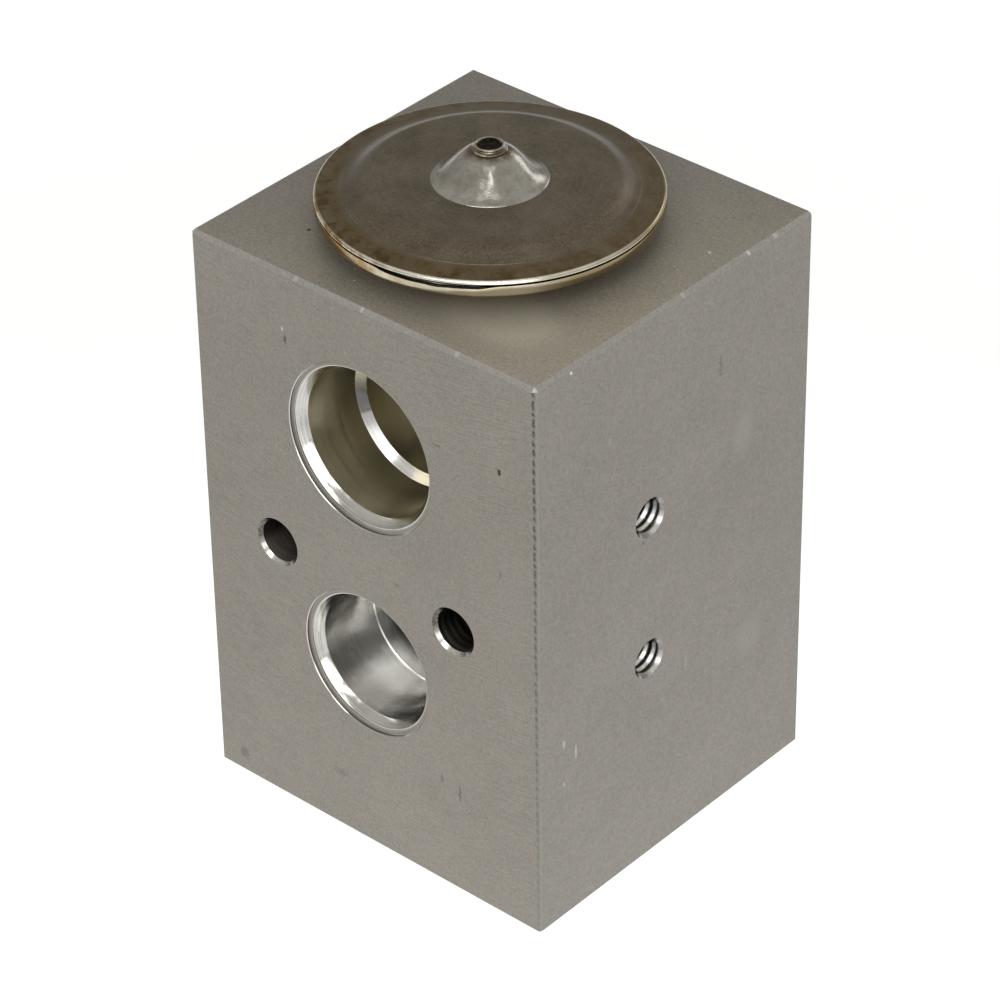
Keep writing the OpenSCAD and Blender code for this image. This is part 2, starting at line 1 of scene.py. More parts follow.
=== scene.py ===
import math
import bpy
import bmesh
from mathutils import Matrix, Vector, noise


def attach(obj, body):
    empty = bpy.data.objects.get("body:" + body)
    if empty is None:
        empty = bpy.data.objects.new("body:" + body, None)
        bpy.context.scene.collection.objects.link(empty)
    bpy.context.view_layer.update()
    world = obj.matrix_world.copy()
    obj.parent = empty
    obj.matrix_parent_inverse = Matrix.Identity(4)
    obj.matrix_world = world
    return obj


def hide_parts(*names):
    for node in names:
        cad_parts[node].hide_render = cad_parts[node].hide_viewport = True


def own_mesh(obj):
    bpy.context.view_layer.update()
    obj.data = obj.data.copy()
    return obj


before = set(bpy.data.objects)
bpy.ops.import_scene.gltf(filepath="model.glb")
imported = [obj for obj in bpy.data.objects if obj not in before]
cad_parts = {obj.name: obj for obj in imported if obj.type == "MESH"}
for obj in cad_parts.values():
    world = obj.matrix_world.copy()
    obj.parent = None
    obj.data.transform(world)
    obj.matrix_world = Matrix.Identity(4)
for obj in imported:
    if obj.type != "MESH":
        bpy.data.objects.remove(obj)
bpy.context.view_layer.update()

# Sizes in millimetres. Z is up, and the ports that face the evaporator open on -Y.
MM = 0.001
BLOCK = (51.8, 48.6, 76.2)
EDGE = 0.5
AXIS = (-0.5, -1.4)
TURN = 2 * math.pi
HALF_W, HALF_D, TOP = BLOCK[0] / 2, BLOCK[1] / 2, BLOCK[2]

# Ports: radii of the spot face, the cone's mouth, the bore and the passage behind it, and the bore's depth
SUCTION = {"spot": 10.8, "cone": 10.2, "bore": 9.4, "bore_depth": 9.5, "inner": 8.45}
OUTLET = {"spot": 9.6, "cone": 8.9, "bore": 8.2, "bore_depth": 9.9, "inner": 8.05}
INLET = {"spot": 8, "cone": 7.3, "bore": 6.35, "bore_depth": 9.9, "inner": 6.2}
SUCTION_Z, OUTLET_Z, INLET_Z = 57, 26.9, 17.5
OUTLET_DEPTH, OUTLET_HOLE_R = 13.5, 3.4
INLET_DEPTH, INLET_HOLE_R = 12, 2.8
SPOT_DEPTH, CONE_DEPTH, SPOT_STEP, ENTRY = 0.35, 1.65, 0.12, 0.1
DRILL_HALF_ANGLE = 59

# Bores on the valve's axis, from below: a radius and the height where each ends
SCREW_BORE, SEAL_BORE, SPRING_CHAMBER = (7.5, 6.8), (6.65, 11.9), (6, 20.4)
SEAT_BORE, OUTLET_ROOM = (4.2, 24.3), (3.4, 30.3)
PUSH_ROD_BORE, ROD_SEAL_BORE = (1.25, 45.05), (2.9, SUCTION_Z)
ROD_BORE, NECK_BORE, HEAD_SEAT = (6.5, 68.7), (11, 74.5), (13.6, 77.2)
SCREW_MOUTH = 0.5

# Fastening holes
BOLT_X, BOLT_Z, BOLT_R, BOLT_SINK = 13.7, 38, 2.75, 0.42
SIDE_Y, SIDE_LOW, SIDE_HIGH, SIDE_PITCH = -4.7, 29.2, 49.1, 1.058

# How far a cutting tool stands out of the block, and the steps round a port, a bore, a hole and the head
CLEAR, PORT_STEPS, BORE_STEPS, HOLE_STEPS, HEAD_STEPS = 1, 160, 96, 64, 192

# Milling: distance between two tool marks, and how deep the marks reach: those of handling, and painted shade
# and sheen
TOOL_STEP, MARK_DEPTH = 0.46, 0.5

# Head: thickness of its sheets, bottom of the lower cap, of its flange and of the upper flange, top of the
# dome, then the creases of the upper cap, its hole, and the foot, flare and hole of the lower cap
SHEET = 0.86
LOWER_Z, FLANGE_Z, UPPER_Z, DOME_Z = 76.3, 79.0, 80.0, 82.31
CREASE_R, CREASE_Z, DOME_R, CAP_HOLE_R = 17.04, 81.22, 14.2, 1.32
LOWER_R, LOWER_FLARE, NECK_HOLE_R = 14.6, 2, 8.62

# The lower cap's edge above LIP_Z and outside LIP_R dips by DIP on the side of DIP_ANGLE
LIP_Z, LIP_R, DIP, DIP_ANGLE = 79.99, 19.5, 0.42, math.radians(-68)

# Solder cone and charging stub. Seen from above, their back is at BACK_ANGLE
SOLDER_H, SOLDER_R, COLLAR_R, BACK_SHRINK = 3.6, 6.7, 2.15, 0.06
STUB_Z, STUB_R, COLLAR_Z = 81.05, 1.3, 85.91
PINCH_Z, BACK_ANGLE = 85.95, math.radians(131.7)

# Superheat spring: middle of its wire at both ends, rise of a closed turn, and turns between the closed ones
SPRING_FOOT, SPRING_TOP, CLOSED_RISE, OPEN_TURNS = 7.12, 13.44, 1.02, 3.5
scene = bpy.context.scene


# Meshes
def new_object(name, mesh):
    obj = bpy.data.objects.new(name, mesh)
    scene.collection.objects.link(obj)
    return obj


def mesh_object(name, points, faces):
    mesh = bpy.data.meshes.new(name)
    mesh.from_pydata([tuple(p) for p in points], [], faces)
    mesh.update()
    return new_object(name, mesh)


def rounded(points, radius, steps=3):
    """Replaces each inner corner of an outline by a small arc."""
    out = [points[0]]
    for i in range(1, len(points) - 1):
        a, b, c = (Vector(points[i + k]) for k in (-1, 0, 1))
        u, v = (a - b), (c - b)
        reach = min(radius, 0.45 * u.length, 0.45 * v.length)
        if reach < 1e-4 or u.angle(v, math.pi) > math.radians(176):
            out.append(points[i])
            continue
        p, q = b + u.normalized() * reach, b + v.normalized() * reach
        for k in range(steps + 1):
            t = k / steps
            out.append(tuple((1 - t) ** 2 * p + 2 * t * (1 - t) * b + t * t * q))
    out.append(points[-1])
    return out


def lathe(name, outline, segments, shape=None):
    """A closed solid turned about Z from an open outline of (radius, height) points whose ends lie on the
    axis, or a ring from a closed outline. shape(radius, angle, height) may move a point."""
    solid = outline[0][0] < 1e-9 and outline[-1][0] < 1e-9
    rows = outline[1:-1] if solid else outline
    points, faces = [], []
    for r, z in rows:
        for k in range(segments):
            a = TURN * k / segments
            reach, height = shape(r, a, z) if shape else (r, z)
            points.append((reach * math.cos(a), reach * math.sin(a), height))
    n = len(rows)
    for i in range(n - 1 if solid else n):
        for k in range(segments):
            here, above, beside = i * segments, (i + 1) % n * segments, (k + 1) % segments
            faces.append((here + k, here + beside, above + beside, above + k))
    if solid:
        for end, row in ((outline[0], 0), (outline[-1], n - 1)):
            points.append((0, 0, end[1]))
            c = len(points) - 1
            for k in range(segments):
                a, b = row * segments + k, row * segments + (k + 1) % segments
                faces.append((c, b, a) if row == 0 else (c, a, b))
    obj = mesh_object(name, points, faces)
    outward(obj)
    return obj


def ease(t):
    return t * t * (3 - 2 * t)


def clamp(t):
    return min(1.0, max(0.0, t))


def ripple(angle, reach, slice_at):
    """Smooth noise on a circle."""
    return noise.noise(Vector((reach * math.cos(angle), reach * math.sin(angle), slice_at)))


def outward(obj):
    bm = bmesh.new()
    bm.from_mesh(obj.data)
    bmesh.ops.recalc_face_normals(bm, faces=bm.faces)
    bm.to_mesh(obj.data)
    bm.free()


def place(obj, matrix):
    obj.data.transform(matrix)
    outward(obj)
    return obj


def into_port_face(x, z):
    return Matrix.Translation((x, -HALF_D, z)) @ Matrix.Rotation(-math.pi / 2, 4, "X")


def into_line_face(x, z):
    return Matrix.Translation((x, HALF_D, z)) @ Matrix.Rotation(math.pi / 2, 4, "X")


def into_side_face(y, z):
    return Matrix.Translation((HALF_W, y, z)) @ Matrix.Rotation(-math.pi / 2, 4, "Y")


def on_axis():
    return Matrix.Translation((AXIS[0], AXIS[1], 0))


def smooth(obj, angle):
    """Smooth faces, with every edge sharper than angle kept sharp."""
    bm = bmesh.new()
    bm.from_mesh(obj.data)
    limit = math.radians(angle)
    for f in bm.faces:
        f.smooth = True
    for e in bm.edges:
        e.smooth = len(e.link_faces) == 2 and e.calc_face_angle(0) < limit
    bm.to_mesh(obj.data)
    bm.free()


def to_metres(obj):
    obj.data.transform(Matrix.Scale(MM, 4))
    return obj


def cut(body, tool):
    mod = body.modifiers.new("cut", "BOOLEAN")
    mod.operation = "DIFFERENCE"
    mod.solver = "MANIFOLD"
    mod.object = tool
    bpy.context.view_layer.update()
    mesh = bpy.data.meshes.new_from_object(body.evaluated_get(bpy.context.evaluated_depsgraph_get()))
    body.modifiers.remove(mod)
    old = body.data
    body.data = mesh
    bpy.data.meshes.remove(old)
    spent = tool.data
    bpy.data.objects.remove(tool)
    bpy.data.meshes.remove(spent)


# The block: a bevelled blank that tools are cut from
def blank():
    bm = bmesh.new()
    bmesh.ops.create_cube(bm, size=1)
    for v in bm.verts:
        v.co = (v.co.x * BLOCK[0], v.co.y * BLOCK[1], (v.co.z + 0.5) * BLOCK[2])
    bmesh.ops.bevel(bm, geom=list(bm.edges), offset=EDGE, segments=1, affect="EDGES", offset_type="OFFSET")
    mesh = bpy.data.meshes.new("block_body")
    bm.to_mesh(mesh)
    bm.free()
    return new_object("block_body", mesh)


def mouth(spot, cone, bore, bore_depth, inner):
    seal_step = SPOT_DEPTH + SPOT_STEP
    return [(spot + ENTRY + CLEAR, -CLEAR), (spot, ENTRY), (spot, SPOT_DEPTH), (cone + SPOT_STEP, SPOT_DEPTH),
            (cone + SPOT_STEP, seal_step), (cone, seal_step), (bore, CONE_DEPTH), (bore, bore_depth),
            (inner, bore_depth + bore - inner)]


def tip(r):
    """Height of the cone that a drill leaves at the end of a hole."""
    return r / math.tan(math.radians(DRILL_HALF_ANGLE))


def through_port(port):
    one = mouth(**port)
    other = [(r, BLOCK[1] - z) for r, z in reversed(one)]
    line = [(0, -CLEAR)] + one + other + [(0, BLOCK[1] + CLEAR)]
    return lathe("tool", rounded(line, 0.04, 2), PORT_STEPS)


def blind_port(port, depth, hole, end):
    """A port that goes on as a narrower hole to the valve's axis."""
    inner = port["inner"]
    line = [(0, -CLEAR)] + mouth(**port)
    line += [(inner, depth), (hole, depth + tip(inner) - tip(hole)), (hole, end), (0, end)]
    return lathe("tool", rounded(line, 0.04, 2), PORT_STEPS)


def plain_hole(r, depth, sink):
    line = [(0, -CLEAR), (r + sink + CLEAR, -CLEAR), (r, sink), (r, depth), (0, depth + tip(r))]
    return lathe("tool", line, HOLE_STEPS)


def threaded_hole(crest, root, pitch, thread_end, depth, mouth_r, far_mouth=False, per_turn=28, sharp=False):
    """crest is the radius over the thread's ridges, root in its grooves. A sharp thread has straight flanks.
    A far mouth is a countersink at the hole's other end."""
    step = pitch / per_turn
    rows = [-CLEAR] + [i * step for i in range(int(thread_end / step) + 1)]

    def radius(a, z):
        if z < 0:
            return mouth_r - z
        turns = z / pitch - a / TURN
        groove = 1 - abs(2 * (turns % 1) - 1) if sharp else 0.5 - 0.5 * math.cos(TURN * turns)
        run_out = clamp((thread_end - z) / pitch)
        return max(mouth_r - z, crest + (root - crest) * groove * run_out)

    outline = [(0, rows[0])] + [(1, z) for z in rows]
    tail = [(crest, thread_end + step)]
    if far_mouth:
        past = BOLT_SINK + CLEAR
        tail += [(crest, depth), (crest + past, depth + past), (0, depth + past)]
    else:
        tail += [(crest, depth), (0, depth + tip(crest))]
    limit = rows[-1] + 1e-6
    return lathe("tool", outline + tail, HOLE_STEPS, lambda r, a, z: (radius(a, z) if z <= limit else r, z))


def stepped(start, bores):
    """Outline of bores behind each other, each given by its radius and the height where it ends."""
    line = []
    for r, end in bores:
        line += [(r, start), (r, end)]
        start = end
    return line


def valve_axis_tools():
    room_r, room_end = OUTLET_ROOM
    push_r, push_end = PUSH_ROD_BORE
    lower = [(0, -CLEAR), (SCREW_BORE[0] + SCREW_MOUTH + CLEAR, -CLEAR)]
    lower += stepped(SCREW_MOUTH, [SCREW_BORE, SEAL_BORE, SPRING_CHAMBER, SEAT_BORE, OUTLET_ROOM])
    lower += [(push_r, room_end + tip(room_r))]
    lower += [(push_r, push_end)] + stepped(push_end, [ROD_SEAL_BORE]) + [(0, SUCTION_Z)]
    upper = [(0, SUCTION_Z)] + stepped(SUCTION_Z, [ROD_BORE, NECK_BORE, HEAD_SEAT]) + [(0, HEAD_SEAT[1])]
    return [place(lathe("tool", line, BORE_STEPS), on_axis()) for line in (lower, upper)]


def make_block():
    body = blank()
    left, right = AXIS[0] - BOLT_X, AXIS[0] + BOLT_X
    outlet = blind_port(OUTLET, OUTLET_DEPTH, OUTLET_HOLE_R, HALF_D + AXIS[1])
    inlet = blind_port(INLET, INLET_DEPTH, INLET_HOLE_R, HALF_D - AXIS[1])
    tools = [
        place(through_port(SUCTION), into_port_face(AXIS[0], SUCTION_Z)),
        place(outlet, into_port_face(AXIS[0], OUTLET_Z)),
        place(inlet, into_line_face(AXIS[0], INLET_Z)),
    ]
    tools += valve_axis_tools()
    tools.append(place(plain_hole(BOLT_R, depth=60, sink=BOLT_SINK), into_port_face(left, BOLT_Z)))
    bolt = threaded_hole(crest=2.70, root=2.80, pitch=1.0, thread_end=9, depth=BLOCK[1] - BOLT_SINK,
                         mouth_r=BOLT_R + BOLT_SINK, far_mouth=True, per_turn=14)
    tools.append(place(bolt, into_port_face(right, BOLT_Z)))
    for height in (SIDE_LOW, SIDE_HIGH):
        screw = threaded_hole(crest=1.93, root=2.41, pitch=SIDE_PITCH, thread_end=8, depth=11, mouth_r=2.56,
                              sharp=True)
        tools.append(place(screw, into_side_face(SIDE_Y, height)))
    stud = threaded_hole(crest=3.4, root=4.0, pitch=1.25, thread_end=10, depth=14, mouth_r=4.5)
    tools.append(place(stud, into_line_face(AXIS[0], BOLT_Z)))
    sink = [(0, -CLEAR), (BOLT_R + BOLT_SINK + CLEAR, -CLEAR), (BOLT_R, BOLT_SINK), (BOLT_R, 1.5), (0, 1.5)]
    tools.append(place(lathe("tool", sink, HOLE_STEPS), into_line_face(left, BOLT_Z)))
    for tool in tools:
        cut(body, tool)
    return body


# Materials
class Nodes:
    """Short calls for a material's node tree. Positions are in millimetres in the part's own frame."""

    def __init__(self, name):
        self.material = bpy.data.materials.new(name)
        self.material.use_nodes = True
        self.tree = self.material.node_tree
        self.tree.nodes.clear()
        self.out = self.add("ShaderNodeOutputMaterial")
        self.shader = self.add("ShaderNodeBsdfPrincipled")
        self.link(self.shader.outputs[0], self.out.inputs["Surface"])
        where = self.add("ShaderNodeTexCoord")
        scale = self.add("ShaderNodeVectorMath")
        scale.operation = "SCALE"
        scale.inputs["Scale"].default_value = 1 / MM
        self.link(where.outputs["Object"], scale.inputs[0])
        self.pos = scale.outputs[0]

    def add(self, kind):
        return self.tree.nodes.new(kind)

    def link(self, a, b):
        self.tree.links.new(a, b)

    def put(self, value, socket):
        if isinstance(value, bpy.types.NodeSocket):
            self.link(value, socket)
        else:
            socket.default_value = value

    def set(self, **values):
        names = {"color": "Base Color", "metallic": "Metallic", "roughness": "Roughness", "normal": "Normal",
                 "specular": "Specular IOR Level"}
        for key, value in values.items():
            if key == "color" and not isinstance(value, bpy.types.NodeSocket):
                value = (*value, 1)
            self.put(value, self.shader.inputs[names[key]])

    def math(self, operation, a, b=0.0, c=0.0):
        n = self.add("ShaderNodeMath")
        n.operation = operation
        for i, v in enumerate((a, b, c)):
            self.put(v, n.inputs[i])
        return n.outputs[0]

    def plus(self, a, b):
        return self.math("ADD", a, b)

    def minus(self, a, b):
        return self.math("SUBTRACT", a, b)

    def times(self, a, b):
        return self.math("MULTIPLY", a, b)

    def polar(self, u, v, centre):
        """Offsets of u and v from a centre, the distance from it and the angle round it."""
        du, dv = self.minus(u, centre[0]), self.minus(v, centre[1])
        reach = self.math("SQRT", self.plus(self.times(du, du), self.times(dv, dv)))
        return du, dv, reach, self.math("ARCTAN2", dv, du)

    def vector(self, operation, a, b=(0, 0, 0)):
        n = self.add("ShaderNodeVectorMath")
        n.operation = operation
        self.put(a, n.inputs[0])
        self.put(b, n.inputs[1])
        return n.outputs["Value" if operation in ("LENGTH", "DOT_PRODUCT") else "Vector"]

    def parts(self, vector):
        n = self.add("ShaderNodeSeparateXYZ")
        self.link(vector, n.inputs[0])
        return n.outputs

    def join(self, x, y, z):
        n = self.add("ShaderNodeCombineXYZ")
        for i, v in enumerate((x, y, z)):
            self.put(v, n.inputs[i])
        return n.outputs[0]

    def noise(self, vector, scale=1.0, detail=2.0, rough=0.5, distortion=0.0):
        n = self.add("ShaderNodeTexNoise")
        self.link(vector, n.inputs["Vector"])
        n.inputs["Scale"].default_value = scale
        n.inputs["Detail"].default_value = detail
        n.inputs["Roughness"].default_value = rough
        n.inputs["Distortion"].default_value = distortion
        return n.outputs[0]

    def fit(self, value, a, b, c=0.0, d=1.0):
        """Maps a..b to c..d, and no further."""
        n = self.add("ShaderNodeMapRange")
        self.put(value, n.inputs[0])
        for i, v in enumerate((a, b, c, d)):
            n.inputs[i + 1].default_value = v
        return n.outputs[0]

    def blend(self, factor, a, b, mode="MIX"):
        n = self.add("ShaderNodeMix")
        n.data_type = "RGBA"
        n.blend_type = mode
        n.clamp_factor = True
        self.put(factor, n.inputs[0])
        self.put(a if isinstance(a, bpy.types.NodeSocket) else (*a, 1), n.inputs[6])
        self.put(b if isinstance(b, bpy.types.NodeSocket) else (*b, 1), n.inputs[7])
        return n.outputs[2]

    def ramp(self, value, stops):
        """Grey value at each position from 0 to 1."""
        n = self.add("ShaderNodeValToRGB")
        self.put(value, n.inputs[0])
        points = n.color_ramp.elements
        for position, level in stops[1:-1]:
            points.new(position).color = (level, level, level, 1)
        points[0].position, points[-1].position = stops[0][0], stops[-1][0]
        points[0].color = (*[stops[0][1]] * 3, 1)
        points[-1].color = (*[stops[-1][1]] * 3, 1)
        return n.outputs[0]

    def bump(self, height, strength, distance):
        n = self.add("ShaderNodeBump")
        n.inputs["Strength"].default_value = strength
        n.inputs["Distance"].default_value = distance * MM
        self.link(height, n.inputs["Height"])
        self.set(normal=n.outputs[0])

    def grey(self, value):
        n = self.add("ShaderNodeCombineColor")
        for i in range(3):
            self.put(value, n.inputs[i])
        return n.outputs[0]


def milled(name, light, dark, centre, plane, roughness, metallic=1.0, lines=0.5, marks=(), polished=None):
    """Face-milled aluminium: fine arcs round a far centre, soft mottling, and marks: those of handling, and
    painted shade and sheen. A mark is a point, its half-sizes, a colour and a strength. The last argument is
    two points, and the darker tint that the first has and that fades towards the second: a painted shade."""
    m = Nodes(name)
    x, y, z = m.parts(m.pos)
    u, v = {"xz": (x, z), "yz": (y, z), "xy": (x, y)}[plane]
    reach, angle = m.polar(u, v, centre)[2:]
    arcs = m.noise(m.join(m.times(reach, 2.3), m.times(angle, 34.0), 0.0), 1.0, 1.0, 0.5)
    shown = m.times(m.fit(m.noise(m.pos, 0.075, 2.0), 0.42, 0.6, 0.2, 1.0), lines)
    specks = m.noise(m.pos, 2.6, 3.0, 0.75)
    patches = m.noise(m.pos, 0.5, 3.0, 0.65)
    cloud = m.noise(m.pos, 0.1, 2.0, 0.55)
    # Regular tool marks that drift and fade
    drift = m.times(m.noise(m.pos, 0.5, 1.0), 9.0)
    cuts = m.math("SINE", m.plus(m.times(reach, TURN / TOOL_STEP), drift))
    tooling = m.plus(m.times(cuts, 0.115), m.times(m.minus(arcs, 0.5), 0.6))
    grain = m.plus(m.times(m.minus(specks, 0.5), 1.1), m.times(m.times(tooling, shown), 1.6))
    grain = m.plus(grain, 0.5)
    mottling = m.plus(m.fit(patches, 0.3, 0.7, 0.0, 0.14), m.fit(cloud, 0.3, 0.7, 0.0, 0.14))
    color = m.blend(m.plus(m.fit(grain, 0.3, 0.7, 0.0, 0.72), mottling), dark, light)
    warmer = m.blend(1.0, color, (1.0, 0.965, 0.955), "MULTIPLY")
    color = m.blend(m.fit(patches, 0.36, 0.64), color, warmer)
    for point, size, tint, strength in marks:
        away = m.vector("MULTIPLY", m.vector("SUBTRACT", m.pos, point), [1 / half for half in size])
        ragged = m.plus(m.vector("LENGTH", away), m.fit(specks, 0.3, 0.7, -0.5, 0.5))
        color = m.blend(m.fit(ragged, 1.15, 0.7, 0.0, strength), color, tint)
    # Painted shade across the face: darker at the first point, fading towards the second
    if polished:
        start, way = Vector(polished[0]), Vector(polished[1]) - Vector(polished[0])
        from_start = m.vector("SUBTRACT", m.pos, tuple(start))
        along = m.vector("DOT_PRODUCT", from_start, tuple(way / way.length_squared))
        color = m.blend(m.fit(along, 0.0, 1.0), m.blend(1.0, color, polished[2], "MULTIPLY"), color)
    shine = m.fit(grain, 0.3, 0.7, roughness - 0.05, roughness + 0.06)
    m.set(color=color, metallic=metallic, roughness=shine)
    m.bump(grain, 0.25, 0.03)
    return m.material


def marks_on(plane, level, marks):
    """Marks of a face given in its own two coordinates, each as centre, half-sizes, colour and strength."""
    normal = {"yz": 0, "xz": 1, "xy": 2}[plane]
    placed = []
    for centre, size, tint, strength in marks:
        point, reach = list(centre), list(size)
        point.insert(normal, level)
        reach.insert(normal, MARK_DEPTH)
        placed.append((point, reach, tint, strength))
    return placed


def front_edge(name, light, dark, groove):
    """Chamfer between the port face and the side face: a row of slanting tool marks along its port side, each
    drawn as a dark line of painted shadow.
    """
    m = Nodes(name)
    x, _, z = m.parts(m.pos)
    across = m.math("DIVIDE", m.minus(x, HALF_W - EDGE), EDGE)
    wander = m.noise(m.vector("MULTIPLY", m.pos, (0.0, 0.0, 0.7)), 1.0, 2.0)
    step = m.math("FRACT", m.plus(m.times(z, -0.8), m.times(wander, 1.4)))
    line = m.plus(m.times(step, 0.26), m.fit(wander, 0.3, 0.7, 0.04, 0.2))
    off = m.math("ABSOLUTE", m.minus(across, line))
    rough = m.noise(m.pos, 4.5, 3.0, 0.7)
    depth = m.times(m.fit(z, 2.0, 66.0, 0.22, 0.84), m.fit(rough, 0.36, 0.55, 0.45, 1.0))
    depth = m.times(depth, m.ramp(step, [(0.0, 0.45), (0.2, 1.0), (0.6, 1.0), (0.85, 0.35), (1.0, 0.45)]))
    color = m.blend(m.fit(rough, 0.3, 0.7), dark, light)
    # Painted shadow along each tool mark
    color = m.blend(m.times(m.fit(off, 0.38, 0.08), depth), color, groove)
    m.set(color=color, metallic=1.0, roughness=0.45)
    m.bump(rough, 0.3, 0.04)
    return m.material


def turned_metal(name, light, dark, along, axis_point, roughness, rings, metallic=1.0, relief=0.2, depth_shade=None,
                 clock=None):
    """A surface turned about an axis along X, Y or Z: fine rings, faint streaks. Painted shade may darken it
    along one coordinate, deeper into a hole: that coordinate, where the shade starts, where it is full, and
    its tint. Painted light and shade may change the brightness round the axis: clock lists degrees and
    brightness."""
    m = Nodes(name)
    at = dict(zip("xyz", m.parts(m.pos)))
    u, v = [at[axis] for axis in "xyz" if axis != along]
    reach, turn = m.polar(u, v, axis_point)[2:]
    spread = m.join(m.times(at[along], rings), m.times(reach, rings), m.times(turn, 0.6))
    ring = m.noise(spread, 1.0, 3.0, 0.6)
    cloud = m.noise(m.pos, 0.35, 2.0)
    tone = m.plus(m.fit(ring, 0.3, 0.7, 0.0, 0.7), m.fit(cloud, 0.3, 0.7, 0.0, 0.3))
    color = m.blend(tone, dark, light)
    # Painted shade deeper in along one coordinate
    if depth_shade:
        axis, start, full, tint = depth_shade
        color = m.blend(m.fit(at[axis], start, full), color, m.blend(1.0, color, tint, "MULTIPLY"))
    # Painted light and shade round the axis
    if clock:
        around = m.math("FRACT", m.plus(m.math("DIVIDE", turn, TURN), m.fit(cloud, 0.3, 0.7, 0.99, 1.01)))
        lit = m.ramp(around, [(degrees / 360, level) for degrees, level in clock])
        color = m.blend(1.0, color, lit, "MULTIPLY")
    shine = m.fit(ring, 0.3, 0.7, roughness - 0.05, roughness + 0.06)
    m.set(color=color, metallic=metallic, roughness=shine)
    m.bump(ring, relief, 0.02)
    return m.material


def head_steel(name, brown, grey, tint, bare, stain, rim_r, highlight_from, highlight_to):
    """Stainless sheet of the head, heat-tinted towards its rim. bare and stain are the rolled edge's metal
    and its stain. The edge starts at rim_r, and a painted highlight turns it from dull to bare between two
    distances to the front."""
    m = Nodes(name)
    x, y, z = m.parts(m.pos)
    dx, dy, reach, turn = m.polar(x, y, AXIS)
    ring = m.noise(m.join(m.times(reach, 2.5), m.times(turn, 1.2), 0.0), 1.0, 3.0, 0.6)
    grain = m.noise(m.pos, 3.6, 2.0, 0.7)
    cloud = m.noise(m.pos, 0.2, 3.0, 0.6)
    tone = m.plus(m.fit(cloud, 0.3, 0.7, 0.0, 0.45), m.fit(grain, 0.3, 0.7, 0.0, 0.55))
    base = m.blend(tone, brown, grey)
    base = m.blend(m.fit(ring, 0.5, 0.75, 0.0, 0.2), base, [c * 1.3 for c in grey])
    stains = m.noise(m.pos, 0.42, 4.0, 0.65)
    edge = m.times(m.fit(reach, 16.9, 17.7), m.fit(stains, 0.36, 0.58, 0.45, 1.0))
    # The heat tint is strongest on the left
    left = m.plus(m.times(dx, -0.55), m.times(dy, -0.84))
    front = m.plus(m.times(dx, 0.45), m.times(dy, -0.89))
    edge = m.times(edge, m.fit(left, -16, 14, 0.7, 1.0))
    base = m.blend(m.times(edge, 0.9), base, tint)
    burnt = m.times(m.fit(reach, 17.4, 18.4), m.fit(stains, 0.48, 0.62))
    burnt = m.times(burnt, m.fit(left, -14, 17, 0.3, 1.0))
    base = m.blend(m.times(burnt, 0.7), base, [c * 0.35 for c in tint])
    rough = m.fit(grain, 0.3, 0.7, 0.32, 0.44)
    rim = m.fit(reach, rim_r, rim_r + 0.15)
    # Painted highlight: the rolled edge turns bright towards the front
    front_highlight = m.times(m.fit(front, highlight_from, highlight_to), m.fit(stains, 0.36, 0.6, 1.0, 0.7))
    dull = [c * share for c, share in zip(bare, (0.42, 0.37, 0.27))]
    base = m.blend(m.times(rim, 0.95), base, m.blend(front_highlight, dull, bare))
    stained = m.times(m.times(rim, m.fit(stains, 0.44, 0.58)), m.fit(left, 13, 19))
    base = m.blend(stained, base, stain)
    rough = m.blend(rim, rough, m.fit(grain, 0.3, 0.7, 0.16, 0.26))
    # Painted shade in the seam, under the upper edge and inside the lower lip
    under = m.times(m.fit(z, 80.46, 80.38), m.fit(z, 80.2, 80.24))
    behind_lip = m.times(m.fit(reach, 19.86, 19.78), m.fit(z, 80.24, 80.2))
    inside = m.times(m.fit(z, 79.35, 79.5), behind_lip)
    base = m.blend(m.plus(under, inside), base, (0.012, 0.010, 0.007))
    m.set(color=base, metallic=1.0, roughness=rough)
    m.bump(m.plus(m.times(ring, 0.35), grain), 0.26, 0.02)
    return m.material


def rubber(name):
    m = Nodes(name)
    fine = m.noise(m.pos, 6.0, 3.0)
    color = m.blend(m.fit(fine, 0.35, 0.65), (0.018, 0.02, 0.018), (0.035, 0.038, 0.033))
    m.set(color=color, metallic=0.0, roughness=m.fit(fine, 0.3, 0.7, 0.45, 0.62))
    m.bump(fine, 0.2, 0.02)
    return m.material


def solder(name):
    """Flowed solder: soft grey streaks, fine wrinkles, brown flux round the stub."""
    m = Nodes(name)
    x, y, z = m.parts(m.pos)
    reach, turn = m.polar(x, y, AXIS)[2:]
    flow = m.noise(m.pos, 0.55, 3.0, 0.6, 0.4)
    wrinkles = m.noise(m.join(m.times(reach, 3.0), m.times(turn, 5.0), z), 1.0, 3.0, 0.6, 0.8)
    base = m.blend(m.fit(flow, 0.3, 0.7), (0.27, 0.252, 0.22), (0.40, 0.385, 0.35))
    base = m.blend(m.fit(wrinkles, 0.5, 0.7, 0.0, 0.35), base, (0.20, 0.187, 0.163))
    flux = m.times(m.fit(reach, 3.1, 2.3), m.fit(m.noise(m.pos, 0.8, 2.0), 0.38, 0.55, 0.35, 1.0))
    base = m.blend(m.times(flux, 0.9), base, (0.085, 0.052, 0.02))
    m.set(color=base, metallic=0.95, roughness=m.fit(flow, 0.3, 0.7, 0.15, 0.27))
    m.bump(m.plus(m.times(wrinkles, 0.6), flow), 0.3, 0.08)
    return m.material


